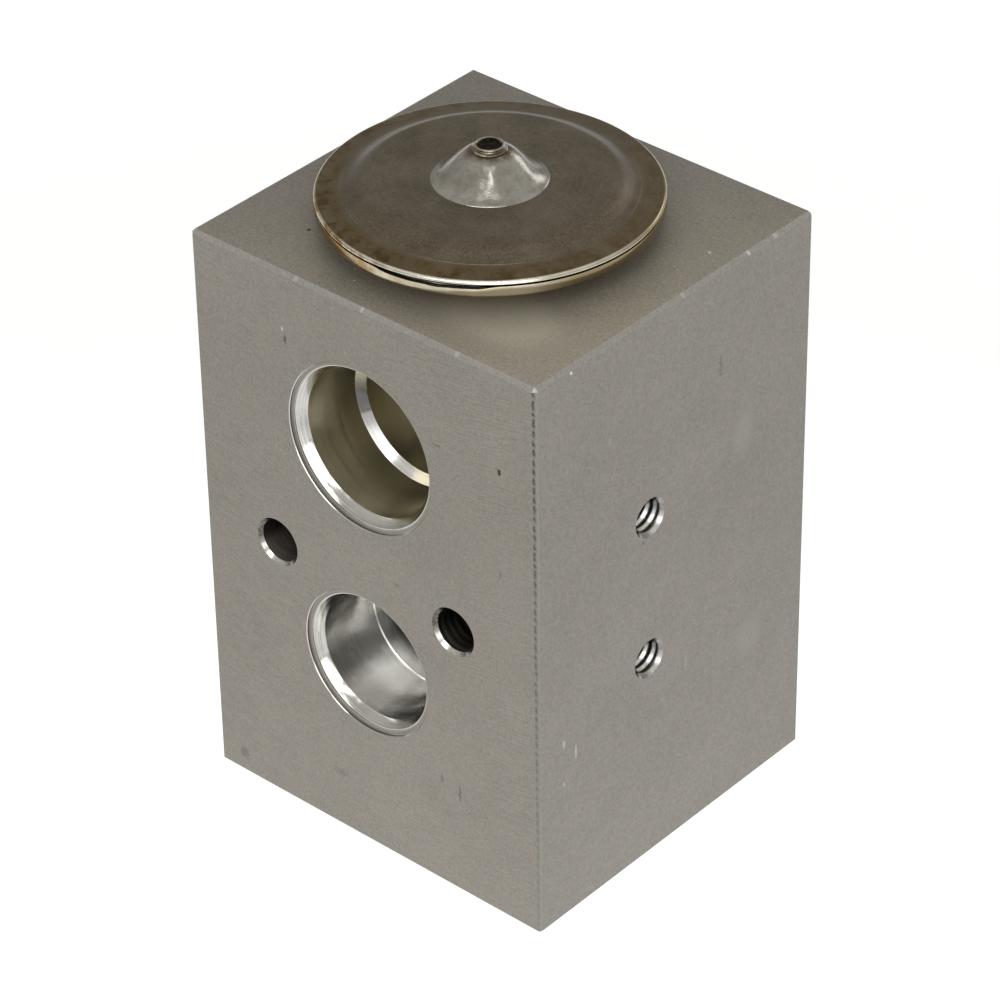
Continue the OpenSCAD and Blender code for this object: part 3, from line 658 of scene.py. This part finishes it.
def tube_end(name):
    """Bright lip and collar of the charging tube, and the burnt plug inside the lip."""
    m = Nodes(name)
    x, y, z = m.parts(m.pos)
    reach = m.polar(x, y, AXIS)[2]
    rough = m.noise(m.pos, 1.8, 3.0, 0.65)
    silver = m.blend(m.fit(rough, 0.3, 0.7), (0.30, 0.28, 0.24), (0.60, 0.58, 0.53))
    flux = m.times(m.fit(z, 86.75, 86.2, 0.3, 1.0), m.fit(m.noise(m.pos, 0.9, 2.0), 0.42, 0.55))
    silver = m.blend(m.times(flux, 0.85), silver, (0.11, 0.07, 0.02))
    burnt = m.blend(m.fit(rough, 0.35, 0.65), (0.004, 0.003, 0.002), (0.022, 0.016, 0.010))
    plug = m.fit(reach, 1.47, 1.38)
    m.set(color=m.blend(plug, silver, burnt), metallic=m.fit(plug, 0.0, 1.0, 1.0, 0.0),
          roughness=m.fit(plug, 0.0, 1.0, 0.22, 0.8), specular=0.06)
    m.bump(rough, 0.35, 0.06)
    return m.material


def countersink(name):
    """Mouths of the two long holes: bright cut metal, with painted shade on the left and low down."""
    m = Nodes(name)
    x, _, z = m.parts(m.pos)
    side = m.minus(x, AXIS[0])
    dx = m.times(m.minus(m.math("ABSOLUTE", side), BOLT_X), m.math("SIGN", side))
    dz = m.minus(z, BOLT_Z)
    left = m.plus(m.times(dx, -0.87), m.times(dz, 0.5))
    rough = m.noise(m.pos, 2.5, 3.0, 0.6)
    low = m.plus(m.times(dx, -0.45), m.times(dz, -0.89))
    # Painted shade on the left of each mouth and low down
    sink_shade = m.times(m.fit(left, 0.9, 2.4), m.fit(rough, 0.3, 0.55, 0.6, 1.0))
    sink_shade = m.math("MAXIMUM", sink_shade, m.times(m.fit(low, 2.3, 1.7), 0.55))
    bright = m.blend(m.fit(rough, 0.3, 0.7), (0.42, 0.41, 0.38), (0.66, 0.65, 0.61))
    m.set(color=m.blend(m.times(sink_shade, 0.9), bright, (0.055, 0.045, 0.038)), metallic=1.0, roughness=0.18)
    m.bump(rough, 0.2, 0.02)
    return m.material


def side_thread(name):
    """Small tapped holes in the side face: a painted highlight on the outer flanks, painted shade in the
    roots and deeper in, and a mouth with painted light on its lower right only."""
    m = Nodes(name)
    x, y, z = m.parts(m.pos)
    middle, spread = (SIDE_LOW + SIDE_HIGH) / 2, (SIDE_HIGH - SIDE_LOW) / 2
    height = m.minus(z, middle)
    dy = m.minus(y, SIDE_Y)
    dz = m.times(m.minus(m.math("ABSOLUTE", height), spread), m.math("SIGN", height))
    depth = m.minus(HALF_W, x)
    turn = m.math("DIVIDE", m.math("ARCTAN2", dy, dz), TURN)
    phase = m.math("FRACT", m.plus(m.minus(m.math("DIVIDE", depth, SIDE_PITCH), turn), 1.0))
    # Painted highlight on each outer flank, painted shade in the roots
    flank = m.ramp(phase, [(0.0, 0.06), (0.58, 0.06), (0.68, 1.0), (0.86, 1.0), (0.94, 0.1), (1.0, 0.06)])
    clock = m.math("FRACT", m.plus(m.math("DIVIDE", m.math("ARCTAN2", dz, dy), TURN), 1.0))
    # Painted light and shade round the hole
    lit = m.ramp(clock, [(0.0, 0.3), (0.25, 0.25), (0.5, 0.35), (0.66, 0.5), (0.78, 1.0), (0.9, 1.0),
                         (1.0, 0.3)])
    mouth_lit = m.ramp(clock, [(0.0, 0.35), (0.2, 0.5), (0.6, 0.45), (0.74, 0.5), (0.8, 1.0), (0.89, 1.0),
                               (1.0, 0.35)])
    rough = m.noise(m.pos, 3.0, 2.0)
    silver = m.blend(m.fit(rough, 0.3, 0.7), (0.62, 0.61, 0.58), (0.84, 0.83, 0.80))
    # Painted shade that grows deeper in
    deep = m.times(m.fit(depth, 2.2, 5.5, 1.0, 0.1), m.times(flank, lit))
    shade = m.blend(m.fit(depth, 0.3, 0.5), m.grey(mouth_lit), m.grey(deep))
    m.set(color=m.blend(1.0, silver, shade, "MULTIPLY"), metallic=1.0, roughness=0.2)
    m.bump(rough, 0.1, 0.02)
    return m.material


def dress(node, material):
    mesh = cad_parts[node].data
    mesh.materials.clear()
    mesh.materials.append(material)


# Block and its materials
block = make_block()
smooth(block, 20)
ALU_LIGHT, ALU_DARK = (0.338, 0.320, 0.281), (0.207, 0.195, 0.169)
SIDE_LIGHT, SIDE_DARK = (0.345, 0.331, 0.298), (0.205, 0.195, 0.172)
CONE_LIGHT, CONE_DARK = (0.72, 0.71, 0.675), (0.36, 0.35, 0.32)
PIT, SHADE = (0.03, 0.025, 0.02), (0.12, 0.11, 0.10)
NICK, SMEAR = (0.85, 0.84, 0.80), (0.36, 0.35, 0.325)
SMUDGE, SHEEN = (0.10, 0.075, 0.062), (0.56, 0.52, 0.43)
suction_axis, outlet_axis = (AXIS[0], SUCTION_Z), (AXIS[0], OUTLET_Z)

port_marks = marks_on("xz", -HALF_D, [
    ((20.6, 63.3), (0.28, 0.45), PIT, 0.9),
    ((-11.4, 67.3), (0.2, 0.6), PIT, 0.6),
    ((-11.8, 68.6), (0.15, 0.3), NICK, 0.5),
    ((11.4, 62.8), (0.6, 0.16), PIT, 0.4),
    ((20.5, 49.2), (0.15, 0.6), SHADE, 0.5),
    ((-21.7, 3.1), (0.7, 0.9), SHADE, 0.45),
    ((13.7, 14.8), (0.22, 1.2), SHADE, 0.6),
    ((10.9, 15.8), (0.25, 0.8), SHADE, 0.5),
    ((10.5, 37.6), (0.5, 1.2), SMUDGE, 0.75),
    ((-5.3, 8.4), (1.1, 0.6), SHADE, 0.3),
    ((4.6, 40.5), (0.5, 0.4), SHADE, 0.3)])
port_face = milled("alu_port_face", ALU_LIGHT, ALU_DARK, (5, 150), "xz", 0.42, 1.0, 0.42, port_marks)
side_marks = marks_on("yz", HALF_W, [
    ((7.7, 63.5), (0.3, 1.6), SHADE, 0.4),
    ((-5.9, 46.3), (0.2, 0.22), PIT, 0.5),
    ((-11.8, 63.1), (0.3, 0.6), SMEAR, 0.5),
    ((-18.3, 75.4), (0.2, 0.2), NICK, 0.8),
    ((-17.8, 23.3), (0.13, 0.9), NICK, 0.4),
    ((-19.9, 25.7), (0.25, 0.6), NICK, 0.25),
    ((-19.9, 19.8), (0.2, 0.3), NICK, 0.25),
    ((2.1, 24.8), (0.2, 1.2), SMEAR, 0.5),
    ((12.0, 52.0), (1.6, 3.0), SMEAR, 0.3),
    ((14.0, 22.0), (2.2, 2.6), SMEAR, 0.25)])
side_face = milled("alu_side_face", SIDE_LIGHT, SIDE_DARK, (20, 190), "yz", 0.45, 1.0, 0.15, side_marks)
top_marks = marks_on("xy", TOP, [
    ((-15.3, -15.8), (0.25, 0.25), PIT, 1.0),
    ((-4.0, -20.4), (0.14, 0.14), NICK, 0.6),
    ((-5.6, -18.6), (0.1, 0.25), NICK, 0.4),
    ((22.5, 9.6), (0.22, 0.22), NICK, 0.5),
    ((13.5, -15.5), (7.5, 5.0), SHEEN, 0.45)])
# Painted shade on the top face: darker and cooler at the back left, fading towards the front corner
top_shade_gradient = ((-9, 9, TOP), (17, -17, TOP), (0.66, 0.68, 0.74))
top_face = milled("alu_top_face", (0.405, 0.373, 0.305), (0.215, 0.196, 0.157), (80, 90), "xy", 0.55, 0.4,
                  0.06, top_marks, top_shade_gradient)
edge_metal = milled("alu_edge", (0.42, 0.40, 0.36), ALU_DARK, (5, 150), "xz", 0.36)
# Nicks along the top edges: where, how long and how strong
front_nicks = [((x, -24.1, 76.0), (long, 0.6, 0.3), NICK, strength)
               for x, long, strength in ((0.5, 0.2, 0.35), (-9.5, 0.3, 0.2), (14.5, 0.35, 0.2))]
side_nicks = [((25.7, y, 76.0), (0.6, long, 0.3), NICK, strength)
              for y, long, strength in ((12.6, 0.25, 0.5), (17.5, 0.4, 0.25), (1.0, 0.3, 0.2))]
top_edge = milled("alu_top_edge", (0.395, 0.385, 0.362), (0.265, 0.255, 0.237), (80, 90), "xy", 0.4, 0.5, 0.2,
                  front_nicks + side_nicks)
tool_edge = front_edge("alu_front_edge", (0.33, 0.315, 0.285), (0.26, 0.25, 0.22), (0.03, 0.028, 0.022))
upper_bore = turned_metal("alu_upper_bore", (0.62, 0.575, 0.44), (0.56, 0.515, 0.38), "y", suction_axis,
                          0.34, 1.6, relief=0.02)
bore_light = [(0, 0.8), (160, 0.75), (175, 0.42), (187, 0.8), (202, 0.32), (222, 0.36), (238, 1.0),
              (262, 1.0), (285, 0.9), (360, 0.8)]
lower_bore = turned_metal("alu_lower_bore", (0.95, 0.94, 0.905), (0.89, 0.88, 0.845), "y", outlet_axis,
                          0.22, 1.6, relief=0.012, clock=bore_light)
upper_cone = turned_metal("alu_upper_cone", CONE_LIGHT, CONE_DARK, "y", suction_axis, 0.15, 6.0, relief=0.12)
lower_cone = turned_metal("alu_lower_cone", CONE_LIGHT, CONE_DARK, "y", outlet_axis, 0.15, 6.0, relief=0.12)
shoulder_light = [(0, 0.9), (150, 0.7), (166, 0.5), (180, 0.22), (196, 0.18), (210, 0.26), (223, 0.5),
                  (236, 0.95), (360, 1.0)]
shoulder_metal = turned_metal("alu_shoulder", (0.86, 0.855, 0.83), (0.62, 0.61, 0.59), "y", suction_axis,
                              0.12, 7.0, relief=0.06, clock=shoulder_light)
thread_metal = side_thread("alu_side_thread")
# Short walls of the spot faces: darker colours as painted shade
spot_wall = turned_metal("alu_spot_wall", (0.26, 0.25, 0.22), (0.18, 0.17, 0.15), "y", suction_axis, 0.3, 4.0)
hole_metal = turned_metal("alu_tapped", (0.58, 0.57, 0.54), (0.40, 0.39, 0.36), "x", (SIDE_Y, SIDE_LOW),
                          0.2, 5.0)
# Left bolt hole: painted light and shade round it, and painted shade deeper in
drilled_light = [(0, 0.5), (120, 0.15), (165, 0.1), (190, 0.2), (215, 0.75), (250, 1.0), (300, 1.0),
                 (360, 0.5)]
drilled = turned_metal("alu_drilled", (0.26, 0.225, 0.185), (0.13, 0.11, 0.09), "y",
                       (AXIS[0] - BOLT_X, BOLT_Z), 0.42, 2.0, metallic=0.6,
                       depth_shade=("y", -22.6, -18.5, (0.3, 0.3, 0.28)), clock=drilled_light)
# Right bolt hole: its near-black colour is painted shade, with painted light and shade round it and deeper in
tapped_light = [(0, 0.5), (120, 0.2), (170, 0.15), (200, 0.4), (230, 1.0), (300, 1.0), (360, 0.5)]
tapped_dark = turned_metal("alu_tapped_dark", (0.070, 0.066, 0.052), (0.026, 0.025, 0.019), "y",
                           (AXIS[0] + BOLT_X, BOLT_Z), 0.45, 1.5, metallic=0.6, relief=0.3,
                           depth_shade=("y", -23.5, -20.0, (0.25, 0.26, 0.23)), clock=tapped_light)
spot_upper = turned_metal("alu_spot_upper", ALU_LIGHT, ALU_DARK, "y", suction_axis, 0.42, 4.0)
spot_lower = turned_metal("alu_spot_lower", ALU_LIGHT, ALU_DARK, "y", outlet_axis, 0.42, 4.0)
sink_metal = countersink("alu_countersink")
block_materials = [port_face, side_face, top_face, edge_metal, upper_bore, lower_bore, hole_metal, drilled,
                   tapped_dark, spot_upper, spot_lower, sink_metal, upper_cone, lower_cone, top_edge,
                   tool_edge, shoulder_metal, spot_wall, thread_metal]


def block_surface(c, n):
    """Material of a face of the block by its centre c and its normal n."""
    near, flat = 1e-3, 0.99
    suction_mouth, outlet_mouth = SUCTION["spot"] + ENTRY, OUTLET["spot"] + ENTRY
    bolt_zone, side_zone, side_hole_end = 3.6, 3, 12
    between_ports, outlet_back = 45, -7
    inward = HALF_D - abs(c.y)
    outer = [abs(HALF_W - abs(c.x)), abs(inward), min(abs(c.z), abs(c.z - TOP))]
    from_suction = math.hypot(c.x - AXIS[0], c.z - SUCTION_Z)
    from_outlet = math.hypot(c.x - AXIS[0], c.z - OUTLET_Z)
    across = abs(n.y) > 0.3
    if outer[1] < near and abs(n.y) > flat:
        return port_face
    if outer[0] < near and abs(n.x) > flat:
        return side_face
    if outer[2] < near and abs(n.z) > flat:
        return top_face
    if sum(1 for o in outer if o < EDGE + near) >= 2:
        if n.z > 0.3:
            return top_edge
        return tool_edge if n.x > 0.5 and n.y < -0.5 else edge_metal
    if outer[1] < SPOT_DEPTH + 0.1 and abs(n.y) > 0.95:
        return spot_upper if c.z > between_ports else spot_lower
    in_mouth = from_suction < suction_mouth or from_outlet < outlet_mouth
    if abs(n.y) < 0.3 and inward < SPOT_DEPTH - 0.01 and c.y < 0 and in_mouth:
        return spot_wall
    if from_suction < SUCTION["bore"] and -0.05 < inward - SUCTION["bore_depth"] < 1 and across:
        return shoulder_metal
    in_cone = inward < CONE_DEPTH - 0.05
    if from_suction < suction_mouth:
        return upper_cone if across or in_cone else upper_bore
    if from_outlet < outlet_mouth and c.y < outlet_back:
        return lower_cone if in_cone else lower_bore
    if math.hypot(abs(c.x - AXIS[0]) - BOLT_X, c.z - BOLT_Z) < bolt_zone:
        if outer[1] < BOLT_SINK + 0.01 and abs(n.y) > 0.5:
            return sink_metal
        return drilled if c.x < AXIS[0] else tapped_dark
    from_side_hole = min(abs(c.z - SIDE_LOW), abs(c.z - SIDE_HIGH))
    if c.x > side_hole_end and from_side_hole < side_zone and abs(c.y - SIDE_Y) < side_zone:
        return thread_metal
    return hole_metal


block.data.materials.clear()
for material in block_materials:
    block.data.materials.append(material)
slot_of = {material.name: i for i, material in enumerate(block_materials)}
for face in block.data.polygons:
    face.material_index = slot_of[block_surface(face.center, face.normal).name]
to_metres(block)
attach(block, "valve_body")
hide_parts("valve_block")


def arc(r, z, radius, a, b, steps=8):
    """Points of an outline on an arc round (r, z), from angle a to angle b in degrees."""
    angles = [math.radians(a + (b - a) * i / steps) for i in range(steps + 1)]
    return [(r + radius * math.cos(angle), z + radius * math.sin(angle)) for angle in angles]


# Pressed caps of the head, both with a rolled edge
dome = []
for i in range(17):
    t = i / 16
    dome.append((CREASE_R + (DOME_R - CREASE_R) * t, CREASE_Z + (DOME_Z - CREASE_Z) * ease(t)))
upper_line = [(CAP_HOLE_R, DOME_Z - SHEET)] + [(r, z - SHEET) for r, z in reversed(dome)]
upper_line += [(17.7, UPPER_Z), (19.3, UPPER_Z), (19.5, 80.28), (19.88, 80.28), (19.98, 80.34)]
upper_line += arc(19.53, 80.36, 0.47, 0, 84) + [(19.2, 80.87), (17.1, 81.16)] + dome
upper_line += [(10, DOME_Z), (4, DOME_Z), (CAP_HOLE_R, DOME_Z)]
upper = lathe("head_cap_upper", upper_line, HEAD_STEPS)
lower_line = [(NECK_HOLE_R, LOWER_Z), (LOWER_R, LOWER_Z)]
for t in (0.25, 0.5, 0.75):
    lower_line.append((LOWER_R + LOWER_FLARE * t, LOWER_Z + (FLANGE_Z - LOWER_Z) * ease(t)))
lower_line += [(LOWER_R + LOWER_FLARE, FLANGE_Z), (18.4, 78.95), (18.9, 78.78)] + arc(19.5, 79.2, 0.5, -90, 0)
lower_line += [(20.0, 79.5), (20.0, 80.0), (19.96, 80.12), (19.86, 80.17), (19.72, 80.17), (19.62, 80.1)]
lower_line += [(19.62, 79.55), (18.9, 79.55), (18.7, FLANGE_Z + SHEET), (16.17, FLANGE_Z + SHEET)]
lower_line += [(14.17, LOWER_Z + SHEET), (NECK_HOLE_R, LOWER_Z + SHEET)]


def uneven_lip(r, a, z):
    """The rolled edge stands lower along one stretch at the front."""
    if z < LIP_Z or r < LIP_R:
        return r, z
    gap = (math.cos(a - DIP_ANGLE) - 0.92) / 0.065
    dip = ease(clamp(gap)) * (0.85 + 0.3 * ripple(a, 9, 0))
    return r, z - DIP * dip


lower = lathe("head_cap_lower", lower_line, HEAD_STEPS, uneven_lip)
cap_steel = head_steel("cap_steel", (0.082, 0.066, 0.045), (0.208, 0.173, 0.129), (0.122, 0.082, 0.030),
                       bare=(0.88, 0.83, 0.72), stain=(0.30, 0.17, 0.05), rim_r=19.64, highlight_from=4,
                       highlight_to=15)
rim_steel = head_steel("rim_steel", (0.30, 0.24, 0.13), (0.40, 0.33, 0.20), (0.34, 0.26, 0.12),
                       bare=(0.66, 0.60, 0.465), stain=(0.36, 0.22, 0.07), rim_r=19.2, highlight_from=14.5,
                       highlight_to=18.3)
for obj, material, node, slot_name in ((upper, cap_steel, "upper_cap", "cap_steel"),
                                       (lower, rim_steel, "lower_cap", "rim_steel")):
    place(obj, on_axis())
    smooth(obj, 35)
    to_metres(obj)
    obj.data.materials.append(material)
    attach(obj, "valve_body")
    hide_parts(node)


# Solder cone: a bell-shaped fillet with soft pleats, a little smaller at the back
def wrinkle(r, a, z):
    back = max(0.0, math.cos(a - BACK_ANGLE))
    if r < 1.4 or z <= DOME_Z + 1e-6:
        return (r * (1 - BACK_SHRINK * back), z) if r > 6 else (r, z)
    grow = clamp((r - 2.2) / 1.2)
    edge = clamp((SOLDER_R - r) / 1.5)
    pleats = 0.13 * ripple(a, 1.7, r * 0.5) + 0.035 * ripple(a, 4.5, r * 1.1 + 7)
    pleats += 0.012 * ripple(a, r * 3.2, 3)
    share = grow * (0.25 + 0.75 * edge) * min(1.0, (z - DOME_Z) / 0.6)
    return r * (1 - BACK_SHRINK * back * (r / SOLDER_R) ** 2), z + pleats * share


cone_line = [(CAP_HOLE_R, DOME_Z), (6.82, DOME_Z), (6.78, DOME_Z + 0.07)]
for i in range(31):
    t = i / 30
    height = 0.12 + (SOLDER_H - 0.12) * (t + ease(t)) / 2
    cone_line.append((SOLDER_R + (COLLAR_R - SOLDER_R) * t, DOME_Z + height))
cone_line += [(CAP_HOLE_R, DOME_Z + SOLDER_H)]
cone = lathe("solder_cone", cone_line, HEAD_STEPS, wrinkle)


# Cut end of the charging tube: a bright rolled lip round a dark, rough plug
def pinched(r, a, z):
    if z < PINCH_Z:
        return r, z
    flat = min(1.0, (z - PINCH_Z) / 0.4)
    squeeze = 1 - 0.07 * flat * math.cos(a - BACK_ANGLE) ** 2
    rough = 0.09 * ripple(a, 3 * r, 5) if r < STUB_R else 0.0
    return r * squeeze, z + rough


stub_line = [(0, STUB_Z), (STUB_R, STUB_Z), (STUB_R, COLLAR_Z), (1.95, COLLAR_Z), (2.1, 86.0), (2.1, 86.08),
             (1.95, 86.17), (1.76, 86.2), (1.7, 86.28), (1.76, 86.4), (1.76, 86.5), (1.68, 86.6),
             (1.56, 86.61), (1.48, 86.55), (1.42, 86.36), (1.2, 86.3), (0.9, 86.32), (0.5, 86.3), (0, 86.3)]
stub = lathe("charge_stub_end", rounded(stub_line, 0.05), BORE_STEPS, pinched)
for obj, material, node, slot_name in ((cone, solder("solder"), "solder_seal", "solder"),
                                       (stub, tube_end("stub_steel"), "charge_stub", "stub_steel")):
    place(obj, on_axis())
    smooth(obj, 40)
    to_metres(obj)
    obj.data.materials.append(material)
    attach(obj, "valve_body")
    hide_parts(node)


# Spring under the carrier: round wire, a closed turn at each end, and room above for the screw's travel
def wire_height(n):
    """Height of the wire's middle after n turns."""
    if n < 1:
        return SPRING_FOOT + n * CLOSED_RISE
    if n < 1 + OPEN_TURNS:
        open_rise = SPRING_TOP - SPRING_FOOT - 2 * CLOSED_RISE
        return SPRING_FOOT + CLOSED_RISE + (n - 1) * open_rise / OPEN_TURNS
    return SPRING_TOP - (OPEN_TURNS + 2 - n) * CLOSED_RISE


def coil(name, coil_r=3.3, wire_r=0.5, steps=48, sides=16):
    rows = round((OPEN_TURNS + 2) * steps)
    points = []
    for i in range(rows + 1):
        a = TURN * i / steps
        for k in range(sides):
            b = TURN * k / sides
            r = coil_r + wire_r * math.cos(b)
            points.append((r * math.cos(a), r * math.sin(a), wire_height(i / steps) + wire_r * math.sin(b)))
    faces = []
    for i in range(rows):
        here, there = i * sides, (i + 1) * sides
        for k in range(sides):
            beside = (k + 1) % sides
            faces.append((here + k, there + k, there + beside, here + beside))
    faces += [tuple(range(sides)), tuple(rows * sides + k for k in range(sides - 1, -1, -1))]
    obj = mesh_object(name, points, faces)
    outward(obj)
    return obj


spring = coil("spring_coil")
place(spring, on_axis())
smooth(spring, 40)
to_metres(spring)

# Inner parts keep their CAD shapes
steel = turned_metal("plain_steel", (0.56, 0.55, 0.53), (0.42, 0.41, 0.39), "z", AXIS, 0.26, 4.0)
rod_alu = turned_metal("rod_aluminium", (0.70, 0.70, 0.68), (0.56, 0.56, 0.54), "z", AXIS, 0.24, 4.0)
brass = turned_metal("brass", (0.66, 0.48, 0.20), (0.50, 0.35, 0.13), "z", AXIS, 0.24, 4.0)
ball_steel = turned_metal("ball_steel", (0.70, 0.71, 0.73), (0.62, 0.63, 0.65), "z", AXIS, 0.08, 1.0)
wire_steel = turned_metal("spring_steel", (0.42, 0.42, 0.42), (0.30, 0.30, 0.30), "z", AXIS, 0.3, 5.0)
seal = rubber("seal_rubber")
spring.data.materials.append(wire_steel)
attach(spring, "adjuster_ring")
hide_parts("superheat_spring")
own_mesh(spring)
for node, material in {
    "threaded_neck": steel, "diaphragm": steel, "push_rod": steel, "rod_seal_retainer": steel,
    "diaphragm_pad": brass, "valve_seat": brass, "ball_carrier": brass, "adjusting_screw": brass,
    "sensing_rod": rod_alu, "valve_ball": ball_steel, "damping_spring": wire_steel,
    "head_o_ring": seal, "rod_o_ring": seal, "adjuster_o_ring": seal,
}.items():
    dress(node, material)

# Floor, light and camera
floor = mesh_object("floor", [(-3, -3, 0), (3, -3, 0), (3, 3, 0), (-3, 3, 0)], [(0, 1, 2, 3)])
ground = Nodes("floor_paper")
paper = ground.fit(ground.noise(ground.pos, 0.02, 3.0), 0.3, 0.7)
ground.set(color=ground.blend(paper, (0.80, 0.80, 0.79), (0.84, 0.84, 0.83)), metallic=0.0, roughness=0.9,
           specular=0.2)
glow = ground.add("ShaderNodeEmission")
glow.inputs["Color"].default_value = (1, 1, 1, 1)
path = ground.add("ShaderNodeLightPath")
mirrored = ground.math("MAXIMUM", path.outputs["Is Glossy Ray"], path.outputs["Is Transmission Ray"])
seen = ground.math("MAXIMUM", path.outputs["Is Camera Ray"], mirrored)
mixer = ground.add("ShaderNodeMixShader")
ground.link(ground.times(seen, 0.85), mixer.inputs[0])
ground.link(ground.shader.outputs[0], mixer.inputs[1])
x, y, _ = ground.parts(ground.pos)
away = ground.polar(x, y, (0.0, 0.0))[2]
# Painted light: the floor glows brighter close to the block, which the faces reflect
near_glow = ground.fit(away, 35, 110, 1.25, 1.06)
far_glow = ground.fit(away, 150, 400, 0.0, 0.16)
ground.link(ground.plus(near_glow, far_glow), glow.inputs["Strength"])
ground.link(glow.outputs[0], mixer.inputs[2])
ground.link(mixer.outputs[0], ground.out.inputs["Surface"])
floor.data.materials.append(ground.material)

world = bpy.data.worlds.new("studio")
scene.world = world
world.use_nodes = True
tree = world.node_tree
tree.nodes.clear()
where = tree.nodes.new("ShaderNodeTexCoord")
split = tree.nodes.new("ShaderNodeSeparateXYZ")
ramp = tree.nodes.new("ShaderNodeValToRGB")
ramp.color_ramp.elements[0].position = 0.0
ramp.color_ramp.elements[0].color = (0.45, 0.445, 0.43, 1)
ramp.color_ramp.elements[1].position = 1.0
ramp.color_ramp.elements[1].color = (0.68, 0.67, 0.64, 1)
for position, value in ((0.1, (0.42, 0.415, 0.40)), (0.45, (0.52, 0.51, 0.48)), (0.62, (0.66, 0.65, 0.61)),
                        (0.85, (0.68, 0.67, 0.64))):
    ramp.color_ramp.elements.new(position).color = (*value, 1)
back = tree.nodes.new("ShaderNodeBackground")
plain = tree.nodes.new("ShaderNodeBackground")
plain.inputs["Color"].default_value = (1, 1, 1, 1)
ray = tree.nodes.new("ShaderNodeLightPath")
choose = tree.nodes.new("ShaderNodeMixShader")
end = tree.nodes.new("ShaderNodeOutputWorld")
tree.links.new(where.outputs["Generated"], split.inputs[0])
tree.links.new(split.outputs["Z"], ramp.inputs[0])
tree.links.new(ramp.outputs[0], back.inputs["Color"])
tree.links.new(ray.outputs["Is Camera Ray"], choose.inputs[0])
tree.links.new(back.outputs[0], choose.inputs[1])
tree.links.new(plain.outputs[0], choose.inputs[2])
tree.links.new(choose.outputs[0], end.inputs[0])
back.inputs["Strength"].default_value = 1.0


def softbox(name, place_at, look_at, size, watts):
    """A rectangular area light of a width and a height in metres."""
    lamp = bpy.data.lights.new(name, "AREA")
    lamp.shape = "RECTANGLE"
    lamp.size, lamp.size_y = size
    lamp.energy = watts
    obj = bpy.data.objects.new(name, lamp)
    obj.location = place_at
    obj.rotation_euler = (Vector(look_at) - Vector(place_at)).to_track_quat("-Z", "Y").to_euler()
    scene.collection.objects.link(obj)


softbox("key", (0.26, -0.29, 0.62), (0, 0, 0.08), (0.12, 0.3), 0.35)
softbox("back", (0.07, 0.72, 0.35), (0, 0, 0.08), (0.3, 0.2), 0.35)
softbox("side", (0.68, -0.61, 0.42), (0, 0, 0.05), (0.65, 0.75), 3.3)
softbox("overhead_right", (0.268, -0.075, 0.845), (0, 0, 0.08), (0.12, 0.12), 0.06)
softbox("overhead_left", (0.042, -0.273, 0.845), (0, 0, 0.08), (0.12, 0.12), 0.06)
softbox("front", (0.116, -0.614, 0.549), (0, 0, 0.05), (0.3, 0.3), 0.85)

# Camera fitted to the block's corners: focal length in pixels of the photo, place, and the directions that
# lead right, down and ahead in the picture
FOCAL, PHOTO_WIDTH, SENSOR = 4460.8, 1000, 36
PLACE = (0.28807, -0.32431, 0.33904)
data = bpy.data.cameras.new("camera")
data.sensor_width = SENSOR
data.lens = FOCAL / PHOTO_WIDTH * SENSOR
data.clip_start, data.clip_end = 0.05, 20
camera = bpy.data.objects.new("camera", data)
right, down = (0.75242, 0.65855, -0.01302), (0.36796, -0.43664, -0.82094)
ahead = (-0.54632, 0.61290, -0.57086)
turn = Matrix([(right[i], -down[i], -ahead[i]) for i in range(3)])
camera.matrix_world = Matrix.Translation(PLACE) @ turn.to_4x4()
scene.collection.objects.link(camera)
scene.camera = camera
scene.view_settings.view_transform = "Standard"
